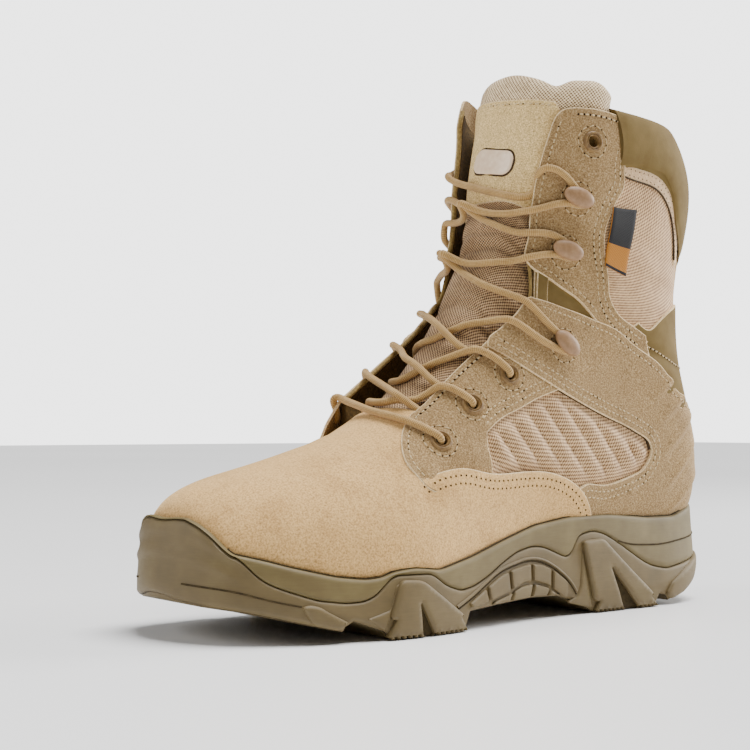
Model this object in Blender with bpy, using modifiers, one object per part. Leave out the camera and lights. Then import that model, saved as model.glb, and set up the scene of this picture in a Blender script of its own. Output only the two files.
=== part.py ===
"""Left lace-up desert boot, 8 inch shaft, as an assembly of separate solids.

The boot stands on its sole.  Toe at -Y, heel at +Y, the outer (lateral) side
at +X, Z up, the ground at Z = 0.  The tables are in millimetres, with X and Y
measured from the last's own centre lines; metres() turns their points into
metres from the origin, the middle of the boot's outline on the ground.

The foot's surface (the skin) is a loft through the sections of SECTIONS.  A
section lies in the plane through its top point and its base point, and has a
lateral and a medial half.  Every piece of the upper is read from that skin at
(side, station, fraction): the station counts table rows from the toe, the
fraction runs from 0 at the top point to 1 at the base point.
"""
import bpy
import bmesh
import numpy as np
from mathutils import Matrix, Vector
from mathutils.bvhtree import BVHTree

MM = 0.001

# ---------------------------------------------------------------- driving sizes
ORIGIN = (1.8, 5.0, 0.0)   # middle of the boot's outline on the ground, in the tables' frame
GAP = 0.3                  # clearance between pieces that meet
FACET = 0.35               # more of it where facets of unlike spacing face each other
WALL = 2.0                 # suede and lining of the upper
TONGUE_SINK = 3.3          # tongue's front below the skin
TONGUE_THICK = 5.5
INSOLE_THICK = 4.0
INSOLE_FROM, INSOLE_TO = 2.0, 13.0     # stations of its ends
RIM = 2.9                  # sole wall outside the skin at its top edge
COVER = 1.6                # outsole wall where it reaches the upper
CUP = 3.0                  # outsole wall around the midsole lower down
MIDSOLE_SET = 0.8          # midsole's face inside the outsole's
PLATE_PROUD = 2.2          # side plates of the outsole beyond its wall
FEATHER = 0.85             # where the upper turns under, of the base half's height
MEDIAL_FLARE = 5.0         # the medial flap stands off the tongue by this
LACE_RADIUS = 2.1
LACE_CLEAR = LACE_RADIUS + GAP + .25   # lace's centre above what it lies on
ROUND = 10                 # sides of eyelets and hooks
EYELET = {"hole": 3.3, "barrel": 3.0, "bore": 2.2, "flange": 5.2, "thick": 0.9}
HOOK = {"plate": 4.0, "plate_thick": 0.8, "post": 1.7, "reach": 4.6,
        "cap_long": 6.8, "cap_wide": 4.2, "cap_thick": 3.0}
BADGE = {"width": 31.0, "height": 14.5, "corner": 6.5, "thick": 1.2, "station": 16.3}
TAB = {"width": 13.5, "height": 31.0, "thick": 1.2, "station": 15.7, "fraction": .455,
       "lean": -10.0}

SHARP = np.radians(40)     # edges steeper than this stay sharp in smooth shading

LATERAL, MEDIAL = 1, -1
SIDES = (LATERAL, MEDIAL)

# ---------------------------------------------------------------- tables
# name, top point y z, base point y z, centre x, lateral and medial half widths,
# height fraction of the widest line from the top, roundness of top and of base
SECTIONS = [
    ("toe_tip",       -135.0,  44.0, -135.0,  37.0, -10.0,  1.0,  1.0, .55, 2.0, 2.0),
    ("toe_front",     -133.5,  53.0, -134.5,  30.0, -10.0, 17.0, 17.0, .60, 2.0, 2.4),
    ("toe_round",     -128.0,  59.5, -131.5,  25.5,  -9.0, 29.0, 28.0, .64, 2.0, 2.6),
    ("toe_cap",       -117.5,  65.0, -124.0,  22.0,  -8.0, 38.5, 36.0, .66, 2.1, 2.8),
    ("toe_box",       -101.0,  69.5, -108.0,  19.0,  -6.0, 45.5, 42.0, .68, 2.1, 3.0),
    ("vamp",           -77.0,  76.5,  -85.0,  16.0,  -3.0, 50.0, 46.0, .70, 2.1, 3.2),
    ("ball",           -53.0,  86.0,  -57.0,  15.0,  -0.5, 51.5, 47.5, .72, 2.0, 3.4),
    ("throat",         -33.0,  98.5,  -35.0,  16.0,   0.0, 49.0, 45.0, .73, 2.0, 3.4),
    ("instep",         -16.0, 115.0,  -10.0,  19.0,   0.0, 44.5, 42.0, .73, 2.2, 3.2),
    ("upper_instep",    -2.0, 132.0,   20.0,  24.0,   0.0, 40.5, 39.5, .71, 2.4, 3.0),
    ("waist",            8.0, 148.0,   52.0,  27.0,   0.0, 38.5, 38.0, .68, 2.6, 2.8),
    ("heel_front",      16.0, 162.0,   86.0,  29.0,   0.0, 37.5, 37.5, .65, 2.8, 2.8),
    ("heel_seat",       21.0, 173.5,  118.0,  29.0,   0.0, 37.0, 37.0, .60, 2.9, 2.7),
    ("heel_corner",     24.0, 184.0,  144.0,  37.0,   0.0, 37.0, 37.0, .56, 3.0, 2.6),
    ("heel_back",       26.5, 194.0,  158.0,  68.0,   0.0, 38.0, 37.5, .54, 3.0, 2.4),
    ("counter_top",     28.5, 203.0,  153.0, 104.0,   0.0, 39.0, 38.5, .53, 3.0, 2.3),
    ("achilles",        30.5, 212.0,  148.0, 136.0,   0.0, 40.0, 39.5, .53, 3.0, 2.3),
    ("shaft",           33.0, 222.0,  147.5, 168.0,   0.0, 40.5, 40.5, .53, 3.0, 2.3),
    ("upper_shaft",     35.5, 232.0,  153.5, 206.0,   0.0, 41.5, 41.0, .53, 3.0, 2.3),
    ("collar",          38.0, 242.0,  142.0, 238.0,   0.0, 40.5, 40.0, .53, 3.0, 2.3),
    ("tongue_top",      41.0, 254.0,  141.0, 251.0,   0.0, 39.5, 39.0, .53, 3.0, 2.3),
    ("above",           44.0, 266.0,  140.0, 264.0,   0.0, 38.5, 38.0, .53, 3.0, 2.3),
]
STATION = {row[0]: float(i) for i, row in enumerate(SECTIONS)}
SECTION_VALUES = np.array([row[1:] for row in SECTIONS])

# flap's front edge: station, fraction from the centre line
FLAP_EDGE = [(7.0, .157), (8.2, .164), (9.3, .188), (10.5, .206), (11.4, .200),
             (12.1, .160), (12.6, .133), (13.9, .129), (15.4, .155), (16.6, .174),
             (17.6, .188), (18.2, .200), (18.5, .225), (18.75, .28)]
THROAT = 7.0               # the vamp's top edge crosses the centre line here
NOSE_END = 3.0             # up to here the upper is closed underneath
HEEL_START = 12.5          # from here on it is closed again, behind the heel
FLAP_TOP = 18.75
MEDIAL_RISE = 1.1          # the medial flap ends this many stations higher in front

# sole outline in plan: y, lateral x, medial x
OUTLINE = [
    (-147.5, -10.0, -10.0), (-145.5, 3.0, -22.0), (-139.0, 18.5, -36.5),
    (-128.0, 32.5, -46.5), (-110.0, 44.0, -49.5), (-88.0, 50.5, -50.5),
    (-62.0, 54.0, -50.0), (-36.0, 52.0, -47.0), (-10.0, 47.5, -42.5),
    (18.0, 42.5, -39.5), (46.0, 40.0, -38.5), (76.0, 39.0, -38.5),
    (106.0, 38.5, -38.0), (130.0, 35.0, -34.5), (147.0, 25.0, -25.0),
    (155.5, 12.0, -12.0), (157.5, 0.0, 0.0)]
# heights along the sole, as y, z: the sole's top edge, the outsole's top edge, the
# midsole's underside and the outsole's underside
BORDER = [(-141, 48.5), (-133, 44.5), (-129, 38), (-121, 34.3), (-100, 28), (-76, 25),
          (-67, 26.8), (-55, 27.5), (-44, 26), (-14, 30.2), (21.5, 41.3), (45, 44.4),
          (62, 45), (95, 43.6), (121, 42.3), (140, 45), (158, 49)]
GROOVE = [(-141, 50), (-133, 45.5), (-129, 39), (-124, 28), (-113, 21.5), (-100, 17.5),
          (-87, 15.8), (-79, 17), (-74, 20.5), (-69, 25.5), (-47, 25.5), (-42, 21.5),
          (-36, 18.4), (-28, 16.8), (-15, 20), (0, 25.8), (13.5, 30.7), (24, 33),
          (38, 28.8), (46, 27.5), (50, 35), (66, 37.5), (72, 36), (81, 31.2),
          (98, 20.4), (111, 18.1), (124, 20.6), (140, 25), (158, 30)]
CORE = [(-148, 25), (-127, 19.5), (-93, 11.5), (-70, 8), (-28, 8.5), (0, 13), (38, 13),
        (60, 9.5), (104, 9.5), (130, 14.5), (158, 27)]
GROUND = [(-148, 17), (-127, 12.5), (-93.5, 4.7), (-76, 1.0), (-69, 0), (104, 0),
          (116, 1.7), (135, 9), (149, 19.5), (158, 24)]

# cuts across the whole sole: outlines in y, z
CUTS = {
    "arch": [(-27.5, -2), (-24, 7.4), (-4, 8.6), (20, 9.6), (38, 8.9), (45.5, 6.7),
             (56, 2.7), (61, -2)],
    "toe_gap": [(-92, -2), (-92, 5.5), (-86, 8.0), (-72, 3.0), (-69.5, -2)],
    "heel_notch": [(104, -2), (107.5, 5.2), (113, 4.2), (116, -2)],
}
TREAD_DEPTH = 3.6
TREAD_WIDTH = 4.4
TREAD_ROWS = [-124.0, -108.0, -57.5, -42.0, 76.0, 90.0, 126.0]   # channels between lugs
TREAD_CENTRE = [(-67.0, -29.5), (63.5, 103.0)]     # lengthwise channel, y from and to
# side plates of the outsole: outlines in y, z
PLATES = {
    "forefoot": [(-72, -1), (-71, 8), (-64.5, 23.8), (-53.5, 23.2), (-28.5, 6), (-27.6, -1),
                 (-47.5, -1), (-55.5, 14.7), (-54.5, -1)],
    "heel": [(60.5, -1), (60, 5), (53.5, 33.5), (68.5, 34.2), (102.5, 5), (104.5, -1),
             (91, -1), (72.5, 21), (80, -1)],
}

# eyelets and hooks of one side, from the toe up: station, fraction
EYELET_PLACES = [(7.2, .296), (8.27, .284), (9.53, .306), (17.73, .318)]
HOOK_PLACES = [(11.65, .354), (14.0, .243), (16.0, .293)]

COLOURS = {"suede": (.42, .31, .19), "rubber": (.25, .20, .12), "nylon": (.50, .38, .26),
           "olive": (.17, .13, .06), "lace": (.38, .28, .16), "foam": (.10, .09, .07),
           "metal": (.33, .24, .17), "woven": (.12, .10, .06)}


def metres(point):
    """Point of the tables' frame, in metres from the origin."""
    return (Vector(point) - Vector(ORIGIN)) * MM


# ---------------------------------------------------------------- curves
def natural_spline(knots, values, at):
    """Natural cubic spline through values (rows) at the knots, read at `at`."""
    knots = np.asarray(knots, float)
    values = np.asarray(values, float)
    at = np.atleast_1d(np.asarray(at, float))
    count = len(knots)
    step = np.diff(knots)
    matrix = np.eye(count)
    right = np.zeros_like(values)
    for i in range(1, count - 1):
        matrix[i, i - 1:i + 2] = step[i - 1], 2 * (step[i - 1] + step[i]), step[i]
        rise = (values[i + 1] - values[i]) / step[i]
        right[i] = 6 * (rise - (values[i] - values[i - 1]) / step[i - 1])
    bend = np.linalg.solve(matrix, right)
    i = np.clip(np.searchsorted(knots, at, side="right") - 1, 0, count - 2)
    h = step[i][:, None]
    a = (knots[i + 1] - at)[:, None]
    b = (at - knots[i])[:, None]
    return (bend[i] * a ** 3 / (6 * h) + bend[i + 1] * b ** 3 / (6 * h)
            + (values[i] / h - bend[i] * h / 6) * a
            + (values[i + 1] / h - bend[i + 1] * h / 6) * b)


def along(table, at):
    """Value of a two-column table by straight lines between its rows."""
    rows = np.array(table, float)
    return np.interp(at, rows[:, 0], rows[:, 1])


# ---------------------------------------------------------------- the skin
ANGLES = np.linspace(0, np.pi, 121)


def section_curve(row, side):
    """Points of one half section from top to base, with their arc fractions."""
    top_y, top_z, base_y, base_z, centre, lateral, medial, widest, round_top, round_base = row
    half = lateral if side == LATERAL else medial
    cosine = np.abs(np.cos(ANGLES))
    sine = np.sin(ANGLES).clip(0)
    upper = ANGLES <= np.pi / 2
    down = np.where(upper, widest * (1 - cosine ** (2 / round_top)),
                    widest + (1 - widest) * cosine ** (2 / round_base))
    out = np.where(upper, sine ** (2 / round_top), sine ** (2 / round_base)) * half
    points = np.stack([centre + side * out, top_y + (base_y - top_y) * down,
                       top_z + (base_z - top_z) * down], axis=1)
    run = np.linalg.norm(np.diff(points, axis=0), axis=1)
    arc = np.concatenate([[0], np.cumsum(run)])
    return points, arc / arc[-1], down


def skin_bare(side, station, fractions):
    """Skin points of one station at the fractions."""
    row = natural_spline(range(len(SECTIONS)), SECTION_VALUES, station)[0]
    points, arc, _ = section_curve(row, side)
    return np.stack([np.interp(fractions, arc, points[:, k]) for k in range(3)], axis=1)


def skin(side, station, fractions, offset=0.0):
    """Skin points moved outward by offset, a number or one for each fraction."""
    fractions = np.atleast_1d(np.asarray(fractions, float))
    here = skin_bare(side, station, fractions)
    if not np.any(offset):
        return here
    small = 0.02
    low, high = (fractions - small).clip(0), (fractions + small).clip(0, 1)
    across = skin_bare(side, station, high) - skin_bare(side, station, low)
    lengthwise = (skin_bare(side, station + small, fractions)
                  - skin_bare(side, station - small, fractions))
    normal = np.cross(across, lengthwise) * side
    on_centre = (fractions <= 0) | (fractions >= 1)
    normal[on_centre, 0] = 0
    normal /= np.linalg.norm(normal, axis=1)[:, None].clip(1e-9)
    return here + normal * np.reshape(offset, (-1, 1))


THROAT_CELLS, SIDE_CELLS, BASE_CELLS = 3, 9, 4
SHELL_STATIONS = [.5, 1, 1.5, 2, 2.5, 3, 3.5, 4.25, 5, 5.75, 6.4, 7, 7.6, 8.2, 8.8, 9.4, 10,
                  10.6, 11.2, 11.9, 12.5, 13, 13.6, 14.3, 15, 15.8, 16.6, 17.3, 17.9, 18.35,
                  18.75]


def shell_fractions(station):
    """Columns of the shell: across the throat, down the side, under the foot."""
    edge, under = flap_edge(station), feather(station)
    down = np.linspace(0, 1, SIDE_CELLS + 1)
    down = down * (1.35 - .35 * down)
    return np.concatenate([np.linspace(0, edge, THROAT_CELLS + 1)[:-1],
                           edge + (under - edge) * down[:-1],
                           np.linspace(under, 1, BASE_CELLS + 1)])


def flap_edge(station):
    return along(FLAP_EDGE, station)


def flare(side, station, fractions):
    """Outward offset that opens the medial flap near its free edge."""
    fractions = np.asarray(fractions, float)
    if side == LATERAL:
        return np.zeros(fractions.shape)
    strength = np.interp(station, [THROAT, THROAT + 2.5], [0, MEDIAL_FLARE])
    near = ((flap_edge(station) + .16 - fractions) / .16).clip(0, 1)
    return strength * near * near * (3 - 2 * near)


def outer_face(side, station, fractions, offset=0.0):
    """Skin with the flap's flare: the upper's outer face, moved outward by offset."""
    return skin(side, station, fractions, flare(side, station, fractions) + offset)


def feather(station):
    """Fraction at which the upper turns under the foot."""
    row = natural_spline(range(len(SECTIONS)), SECTION_VALUES, station)[0]
    _, arc, down = section_curve(row, LATERAL)
    widest = row[7]
    return float(np.interp(widest + (1 - widest) * FEATHER, down, arc))


def frame_at(side, station, fraction, offset=0.0, twist=0.0):
    """Matrix in metres on the skin: Z outward, Y up along the stations."""
    place = outer_face(side, station, [fraction], offset)[0]
    around = outer_face(side, station, [fraction + .02], offset)[0] - place
    ahead = outer_face(side, station + .1, [fraction], offset)[0] - place
    z_axis = Vector(np.cross(around, ahead) * side).normalized()
    x_axis = Vector(ahead).cross(z_axis).normalized()
    y_axis = z_axis.cross(x_axis)
    matrix = Matrix((x_axis, y_axis, z_axis)).transposed().to_4x4()
    matrix.translation = metres(place)
    return matrix @ Matrix.Rotation(twist, 4, "Z")


# ---------------------------------------------------------------- scene helpers
def new_collection(name):
    collection = bpy.data.collections.new(name)
    bpy.context.scene.collection.children.link(collection)
    return collection


def material(name, colour, roughness, metallic=0.0):
    """Principled material of a piece."""
    made = bpy.data.materials.new(name)
    made.use_nodes = True
    shader = made.node_tree.nodes["Principled BSDF"]
    shader.inputs["Base Color"].default_value = (*colour, 1)
    shader.inputs["Roughness"].default_value = roughness
    shader.inputs["Metallic"].default_value = metallic
    return made


def mesh_object(name, points, faces, collection, finish=None, closed=True):
    """Object from points in millimetres; doubles merged, faces turned outward."""
    mesh = bpy.data.meshes.new(name)
    work = bmesh.new()
    verts = [work.verts.new(metres(p)) for p in points]
    for face in faces:
        if len(set(face)) > 2:
            work.faces.new([verts[i] for i in face])
    bmesh.ops.remove_doubles(work, verts=work.verts, dist=1e-6)
    bmesh.ops.dissolve_degenerate(work, edges=work.edges, dist=1e-6)
    if closed:
        bmesh.ops.recalc_face_normals(work, faces=work.faces)
    work.to_mesh(mesh)
    work.free()
    smooth(mesh)
    made = bpy.data.objects.new(name, mesh)
    collection.objects.link(made)
    if finish is not None:
        mesh.materials.append(finish)
    return made


def smooth(mesh):
    mesh.shade_smooth()
    mesh.set_sharp_from_angle(angle=SHARP)


def as_cutter(made):
    """Show an object as a wire and keep it out of the boot."""
    if made.name not in CUTTERS.objects:
        CUTTERS.objects.link(made)
    made.display_type = "WIRE"
    made.hide_render = True
    return made


def cutter(name, points, faces):
    return as_cutter(mesh_object(name, points, faces, CUTTERS))


def add_boolean(target, tool, operation, label):
    modifier = target.modifiers.new(label, "BOOLEAN")
    modifier.operation = operation
    modifier.solver = "EXACT"
    modifier.object = tool


def add_solidify(target, thickness):
    modifier = target.modifiers.new("wall", "SOLIDIFY")
    modifier.thickness = thickness * MM
    modifier.offset = -1
    modifier.use_even_offset = True


def prism(name, outline, x_low, x_high):
    """Cutter that runs along X over an outline given in y, z."""
    count = len(outline)
    points = [(x, y, z) for x in (x_low, x_high) for y, z in outline]
    faces = [tuple(range(count)), tuple(range(count, 2 * count))]
    faces += [(i, (i + 1) % count, count + (i + 1) % count, count + i) for i in range(count)]
    return cutter(name, points, faces)


# ---------------------------------------------------------------- lofts
def grid_faces(rows, columns, flip=False):
    """Quads of a grid of points listed row by row."""
    faces = []
    for i in range(rows - 1):
        for k in range(columns - 1):
            a = i * columns + k
            quad = (a, a + 1, a + columns + 1, a + columns)
            faces.append(quad[::-1] if flip else quad)
    return faces


def skin_shape(grow, last_station):
    """Points and faces of the body inside the skin, grown, with the shell's facets."""
    stations = [0.0] + [q for q in SHELL_STATIONS if q <= last_station]
    loops = []
    for station in stations:
        fractions = shell_fractions(station)
        half = skin(LATERAL, station, fractions, grow)
        other = skin(MEDIAL, station, fractions[1:-1], grow)[::-1]
        loops.append(np.concatenate([half, other]))
    size = len(loops[0])
    points = np.concatenate(loops)
    faces = []
    for i in range(len(loops) - 1):
        for k in range(size):
            n = (k + 1) % size
            faces.append((i * size + k, i * size + n, (i + 1) * size + n, (i + 1) * size + k))
    faces.append(tuple(range(size)))
    faces.append(tuple(range((len(loops) - 1) * size, len(loops) * size)))
    return points, faces


def ring_shape(loops):
    """Points and faces of closed loops of equal length, joined in order, ends laddered.

    A loop runs from the toe tip along the lateral side to the heel tip and
    back along the medial side, so opposite points face each other.
    """
    size = len(loops[0])
    half = size // 2
    points = np.concatenate(loops)
    faces = []
    for i in range(len(loops) - 1):
        for k in range(size):
            n = (k + 1) % size
            a, b, c, d = i * size + k, i * size + n, (i + 1) * size + n, (i + 1) * size + k
            short = np.linalg.norm(points[a] - points[c]) < np.linalg.norm(points[b] - points[d])
            faces += [(a, b, c), (a, c, d)] if short else [(a, b, d), (b, c, d)]
    for start in (0, (len(loops) - 1) * size):
        for k in range(half):
            a, b = k, k + 1
            c, d = (size - k - 1) % size, (size - k) % size
            faces.append(tuple(start + q for q in dict.fromkeys((a, b, c, d))))
    return points, faces


# ---------------------------------------------------------------- sole outline
def outline_points(per_side):
    """Plan points of the sole, toe tip, lateral side, heel tip, medial side."""
    rows = np.array(OUTLINE)
    lateral = rows[:, [1, 0]]
    medial = rows[-2:0:-1][:, [2, 0]]
    around = np.concatenate([lateral, medial])
    count = len(around)
    wrapped = np.concatenate([around[-4:], around, around[:5]])
    knots = np.arange(-4, count + 5)
    heel = len(lateral) - 1
    at = np.concatenate([np.linspace(0, heel, per_side + 1),
                         np.linspace(heel, count, per_side + 1)[1:-1]])
    points = natural_spline(knots, wrapped, at)
    nearby = natural_spline(knots, wrapped, at + 0.01)
    tangent = nearby - points
    inward = np.stack([tangent[:, 1], -tangent[:, 0]], axis=1)
    inward /= np.linalg.norm(inward, axis=1)[:, None]
    centre = np.stack([np.zeros(len(points)), points[:, 1] * 0.7], axis=1)
    flip = np.sign(((centre - points) * inward).sum(axis=1))
    return points, inward * flip[:, None]


class SoleShape:
    """Plan outline, inward directions and lean of the sole's wall."""

    def __init__(self, per_side):
        self.plan, self.inward = outline_points(per_side)
        self.border = along(BORDER, self.plan[:, 1])
        points, faces = skin_shape(0.0, STATION["counter_top"])
        tree = BVHTree.FromPolygons([tuple(p) for p in points], faces)
        self.core = along(CORE, self.plan[:, 1])
        self.lean = np.zeros(len(self.plan))
        for i, (x, y) in enumerate(self.plan):
            direction = Vector((*self.inward[i], 0))
            room = []
            for rise in (.4, .55, .7, .85, 1.0):
                height = self.core[i] + (self.border[i] - self.core[i]) * rise
                hit = tree.ray_cast(Vector((x, y, height)) - direction * 20, direction)
                room.append((hit[3] - 20 - RIM) / rise if hit[0] is not None else 20.0)
            self.lean[i] = min(max(0.0, min(room)), 12.0)
        smooth = np.convolve(np.concatenate([self.lean[-2:], self.lean, self.lean[:2]]),
                             [.1, .2, .4, .2, .1], mode="valid")
        self.lean = smooth

    def loop(self, heights, inset):
        """Loop on the leaning wall at the heights, moved inward by inset."""
        rise = ((heights - self.core) / (self.border - self.core).clip(1)).clip(0, 1)
        shift = self.lean * rise + inset
        place = self.plan + self.inward * shift[:, None]
        return np.column_stack([place, heights])


# ---------------------------------------------------------------- the pieces
def build_outsole(shape):
    y = shape.plan[:, 1]
    border, core = shape.border, shape.core
    ground = along(GROUND, y)
    top = np.minimum(along(GROOVE, y), border) - GAP / 2
    wall = CUP + (COVER - CUP) * ((top - core) / (border - core)).clip(0, 1)
    loops = [shape.loop(ground, 2.0), shape.loop(ground + 2.0, 0.0), shape.loop(top, 0.0),
             shape.loop(top, wall), shape.loop(core, CUP)]
    body = mesh_object("outsole", *ring_shape(loops), PARTS,
                       material("outsole_rubber", COLOURS["rubber"], .75))
    # plates standing proud of the wall: prisms kept inside a fatter copy of it
    proud = [shape.loop(ground, 1.0), shape.loop(ground + 2.5, -PLATE_PROUD),
             shape.loop(np.minimum(ground + 28, border - 1.2), -PLATE_PROUD + 0.6),
             shape.loop(np.minimum(ground + 28, border - 1.2), 1.2),
             shape.loop(ground + 2.5, 2.0)]
    for name, outline in PLATES.items():
        for side in SIDES:
            plate = prism(f"{name}_plate", outline, side * 20, side * 80)
            wall_copy = cutter("proud_wall", *ring_shape(proud))
            add_boolean(plate, wall_copy, "INTERSECT", "follow_wall")
            add_boolean(body, plate, "UNION", f"{name}_plate_{side}")
    for name, outline in CUTS.items():
        add_boolean(body, prism(f"{name}_cut", outline, -80, 80), "DIFFERENCE", name)
    half = TREAD_WIDTH / 2
    for y_row in TREAD_ROWS:
        top = float(along(GROUND, y_row)) + TREAD_DEPTH
        channel = [(y_row - half, top - 9), (y_row - half + 1, top),
                   (y_row + half - 1, top), (y_row + half, top - 9)]
        add_boolean(body, prism("tread_cut", channel, -44, 42), "DIFFERENCE", "tread")
    for y_from, y_to in TREAD_CENTRE:
        slot = [(y_from, -2), (y_from, TREAD_DEPTH - .4), (y_to, TREAD_DEPTH - .4), (y_to, -2)]
        add_boolean(body, prism("centre_cut", slot, -half, half), "DIFFERENCE", "centre")
    return body


def build_midsole(shape):
    y = shape.plan[:, 1]
    border, core = shape.border, shape.core
    groove = np.minimum(along(GROOVE, y), border)
    open_part = ((border - groove) / 4.0).clip(0, 1)
    cover = CUP + (COVER - CUP) * ((groove - core) / (border - core)).clip(0, 1) + GAP
    face = cover + (MIDSOLE_SET - cover) * open_part
    step = np.minimum(groove + GAP / 2, border - .3)
    loops = [shape.loop(core + GAP, CUP + GAP), shape.loop(step, cover),
             shape.loop(step + .05, face), shape.loop(border, face)]
    body = mesh_object("midsole", *ring_shape(loops), PARTS,
                       material("midsole_rubber", COLOURS["rubber"], .7))
    recess = cutter("foot_recess", *skin_shape(GAP, STATION["counter_top"]))
    add_boolean(body, recess, "DIFFERENCE", "recess")
    return body


def build_insole():
    """Slab over the turned-under edge of the upper, following its inside."""
    stations = [q for q in SHELL_STATIONS if INSOLE_FROM <= q <= INSOLE_TO][::2]
    points = []
    for station in stations:
        fractions = shell_fractions(station)[-BASE_CELLS - 2:]
        lateral = skin(LATERAL, station, fractions, -WALL - GAP - 2 * FACET)
        medial = skin(MEDIAL, station, fractions[:-1], -WALL - GAP - 2 * FACET)[::-1]
        points.append(np.concatenate([lateral, medial]))
    width = len(points[0])
    made = mesh_object("insole", np.concatenate(points), grid_faces(len(stations), width),
                       PARTS, material("insole_foam", COLOURS["foam"], .9), closed=False)
    add_solidify(made, INSOLE_THICK)
    return made


def flap_top(side, fraction):
    """Station of the flap's top edge."""
    if side == LATERAL:
        return FLAP_TOP
    return FLAP_TOP + MEDIAL_RISE * float(np.clip((.40 - fraction) / .18, 0, 1))


def build_upper():
    """Open surface over the foot, split at the throat and open underneath."""
    last = THROAT_CELLS + SIDE_CELLS + BASE_CELLS
    base_column = THROAT_CELLS + SIDE_CELLS
    places, points, faces, index = {}, [], [], {}
    for side in SIDES:
        for i, station in enumerate(SHELL_STATIONS):
            lift = max(0.0, (station - 16.6) / (FLAP_TOP - 16.6))
            for k, fraction in enumerate(shell_fractions(station)):
                reach = station + lift * (flap_top(side, fraction) - FLAP_TOP)
                places[side, i, k] = outer_face(side, reach, [fraction])[0]

    def vertex(side, i, k):
        """Index of a grid vertex; the two sides share the centre columns."""
        key = (LATERAL if k in (0, last) else side, i, k)
        if key not in index:
            index[key] = len(points)
            points.append(places[key])
        return index[key]

    for side in SIDES:
        for i, (below, above) in enumerate(zip(SHELL_STATIONS[:-1], SHELL_STATIONS[1:])):
            for k in range(last):
                in_throat = k < THROAT_CELLS and above > THROAT
                in_bed = k >= base_column and below >= NOSE_END and above <= HEEL_START
                if in_throat or in_bed:
                    continue
                quad = [vertex(side, i, k), vertex(side, i, k + 1),
                        vertex(side, i + 1, k + 1), vertex(side, i + 1, k)]
                faces.append(quad if side == LATERAL else quad[::-1])
    nose = [vertex(LATERAL, 0, k) for k in range(last + 1)]
    nose += [vertex(MEDIAL, 0, k) for k in range(last - 1, 0, -1)]
    faces.append(nose[::-1])
    made = mesh_object("upper", points, faces, PARTS,
                       material("upper_suede", COLOURS["suede"], .95), closed=False)
    add_solidify(made, WALL)
    for side in SIDES:
        for station, fraction in EYELET_PLACES:
            add_boolean(made, eyelet_hole(side, station, fraction), "DIFFERENCE", "eyelet_hole")
    return made


def eyelet_hole(side, station, fraction):
    """Cylinder through the wall at an eyelet's place."""
    work = bmesh.new()
    bmesh.ops.create_cone(work, cap_ends=True, segments=ROUND, radius1=EYELET["hole"] * MM,
                          radius2=EYELET["hole"] * MM, depth=4 * WALL * MM)
    made = as_cutter(bpy.data.objects.new("eyelet_hole", mesh_from(work, "eyelet_hole")))
    made.matrix_world = frame_at(side, station, fraction)
    return made


def turned(name, profile, finish):
    """Ring from a closed profile of radius, height pairs."""
    mesh = bpy.data.meshes.new(name)
    count = len(profile)
    mesh.from_pydata([(r * MM, 0, h * MM) for r, h in profile],
                     [(i, (i + 1) % count) for i in range(count)], [])
    made = bpy.data.objects.new(name, mesh)
    PARTS.objects.link(made)
    modifier = made.modifiers.new("turn", "SCREW")
    modifier.steps = ROUND
    modifier.render_steps = ROUND
    modifier.use_smooth_shade = True
    modifier.use_merge_vertices = True
    modifier.merge_threshold = 0.0001
    modifier.use_normal_calculate = True
    modifier.use_normal_flip = True
    mesh.materials.append(finish)
    return made


def build_eyelet(name, side, station, fraction, finish):
    size = EYELET
    low, high = -WALL - GAP - .3, GAP
    profile = [(size["bore"], low), (size["barrel"], low), (size["barrel"], high),
               (size["flange"], high), (size["flange"] - .4, high + size["thick"]),
               (size["bore"], high + size["thick"])]
    made = turned(name, profile, finish)
    made.matrix_world = frame_at(side, station, fraction, 0 if side == LATERAL else FACET)
    return made


def button(bottom, top, radius, crown=1.0, stretch=1.0):
    """Mesh of a round disc between two heights, narrower on top by crown."""
    work = bmesh.new()
    made = bmesh.ops.create_cone(work, cap_ends=True, segments=ROUND, radius1=radius * MM,
                                 radius2=radius * crown * MM, depth=(top - bottom) * MM)
    for vert in made["verts"]:
        vert.co.z += (top + bottom) / 2 * MM
        vert.co.x *= stretch
    return mesh_from(work, "button")


def build_hook(name, side, station, fraction, finish):
    """Riveted plate with a rounded, lengthwise cap on a short post."""
    size = HOOK
    seat = GAP + FACET
    low, high = size["reach"] - size["cap_thick"] / 2 + 1, size["reach"] + size["cap_thick"] / 2
    frame = frame_at(side, station, fraction)
    made = bpy.data.objects.new(name, button(seat, seat + size["plate_thick"], size["plate"]))
    PARTS.objects.link(made)
    made.data.materials.append(finish)
    made.matrix_world = frame
    post = button(seat + .1, size["reach"] + .4, size["post"])
    cap = button(low, high, size["cap_wide"], .55, size["cap_long"] / size["cap_wide"])
    for label, mesh in (("post", post), ("cap", cap)):
        tool = as_cutter(bpy.data.objects.new(f"{name}_{label}", mesh))
        tool.matrix_world = frame
        add_boolean(made, tool, "UNION", label)
    return made


def mesh_from(work, name):
    """Mesh of a bmesh, which is freed."""
    mesh = bpy.data.meshes.new(name)
    work.to_mesh(mesh)
    work.free()
    smooth(mesh)
    return mesh


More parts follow.
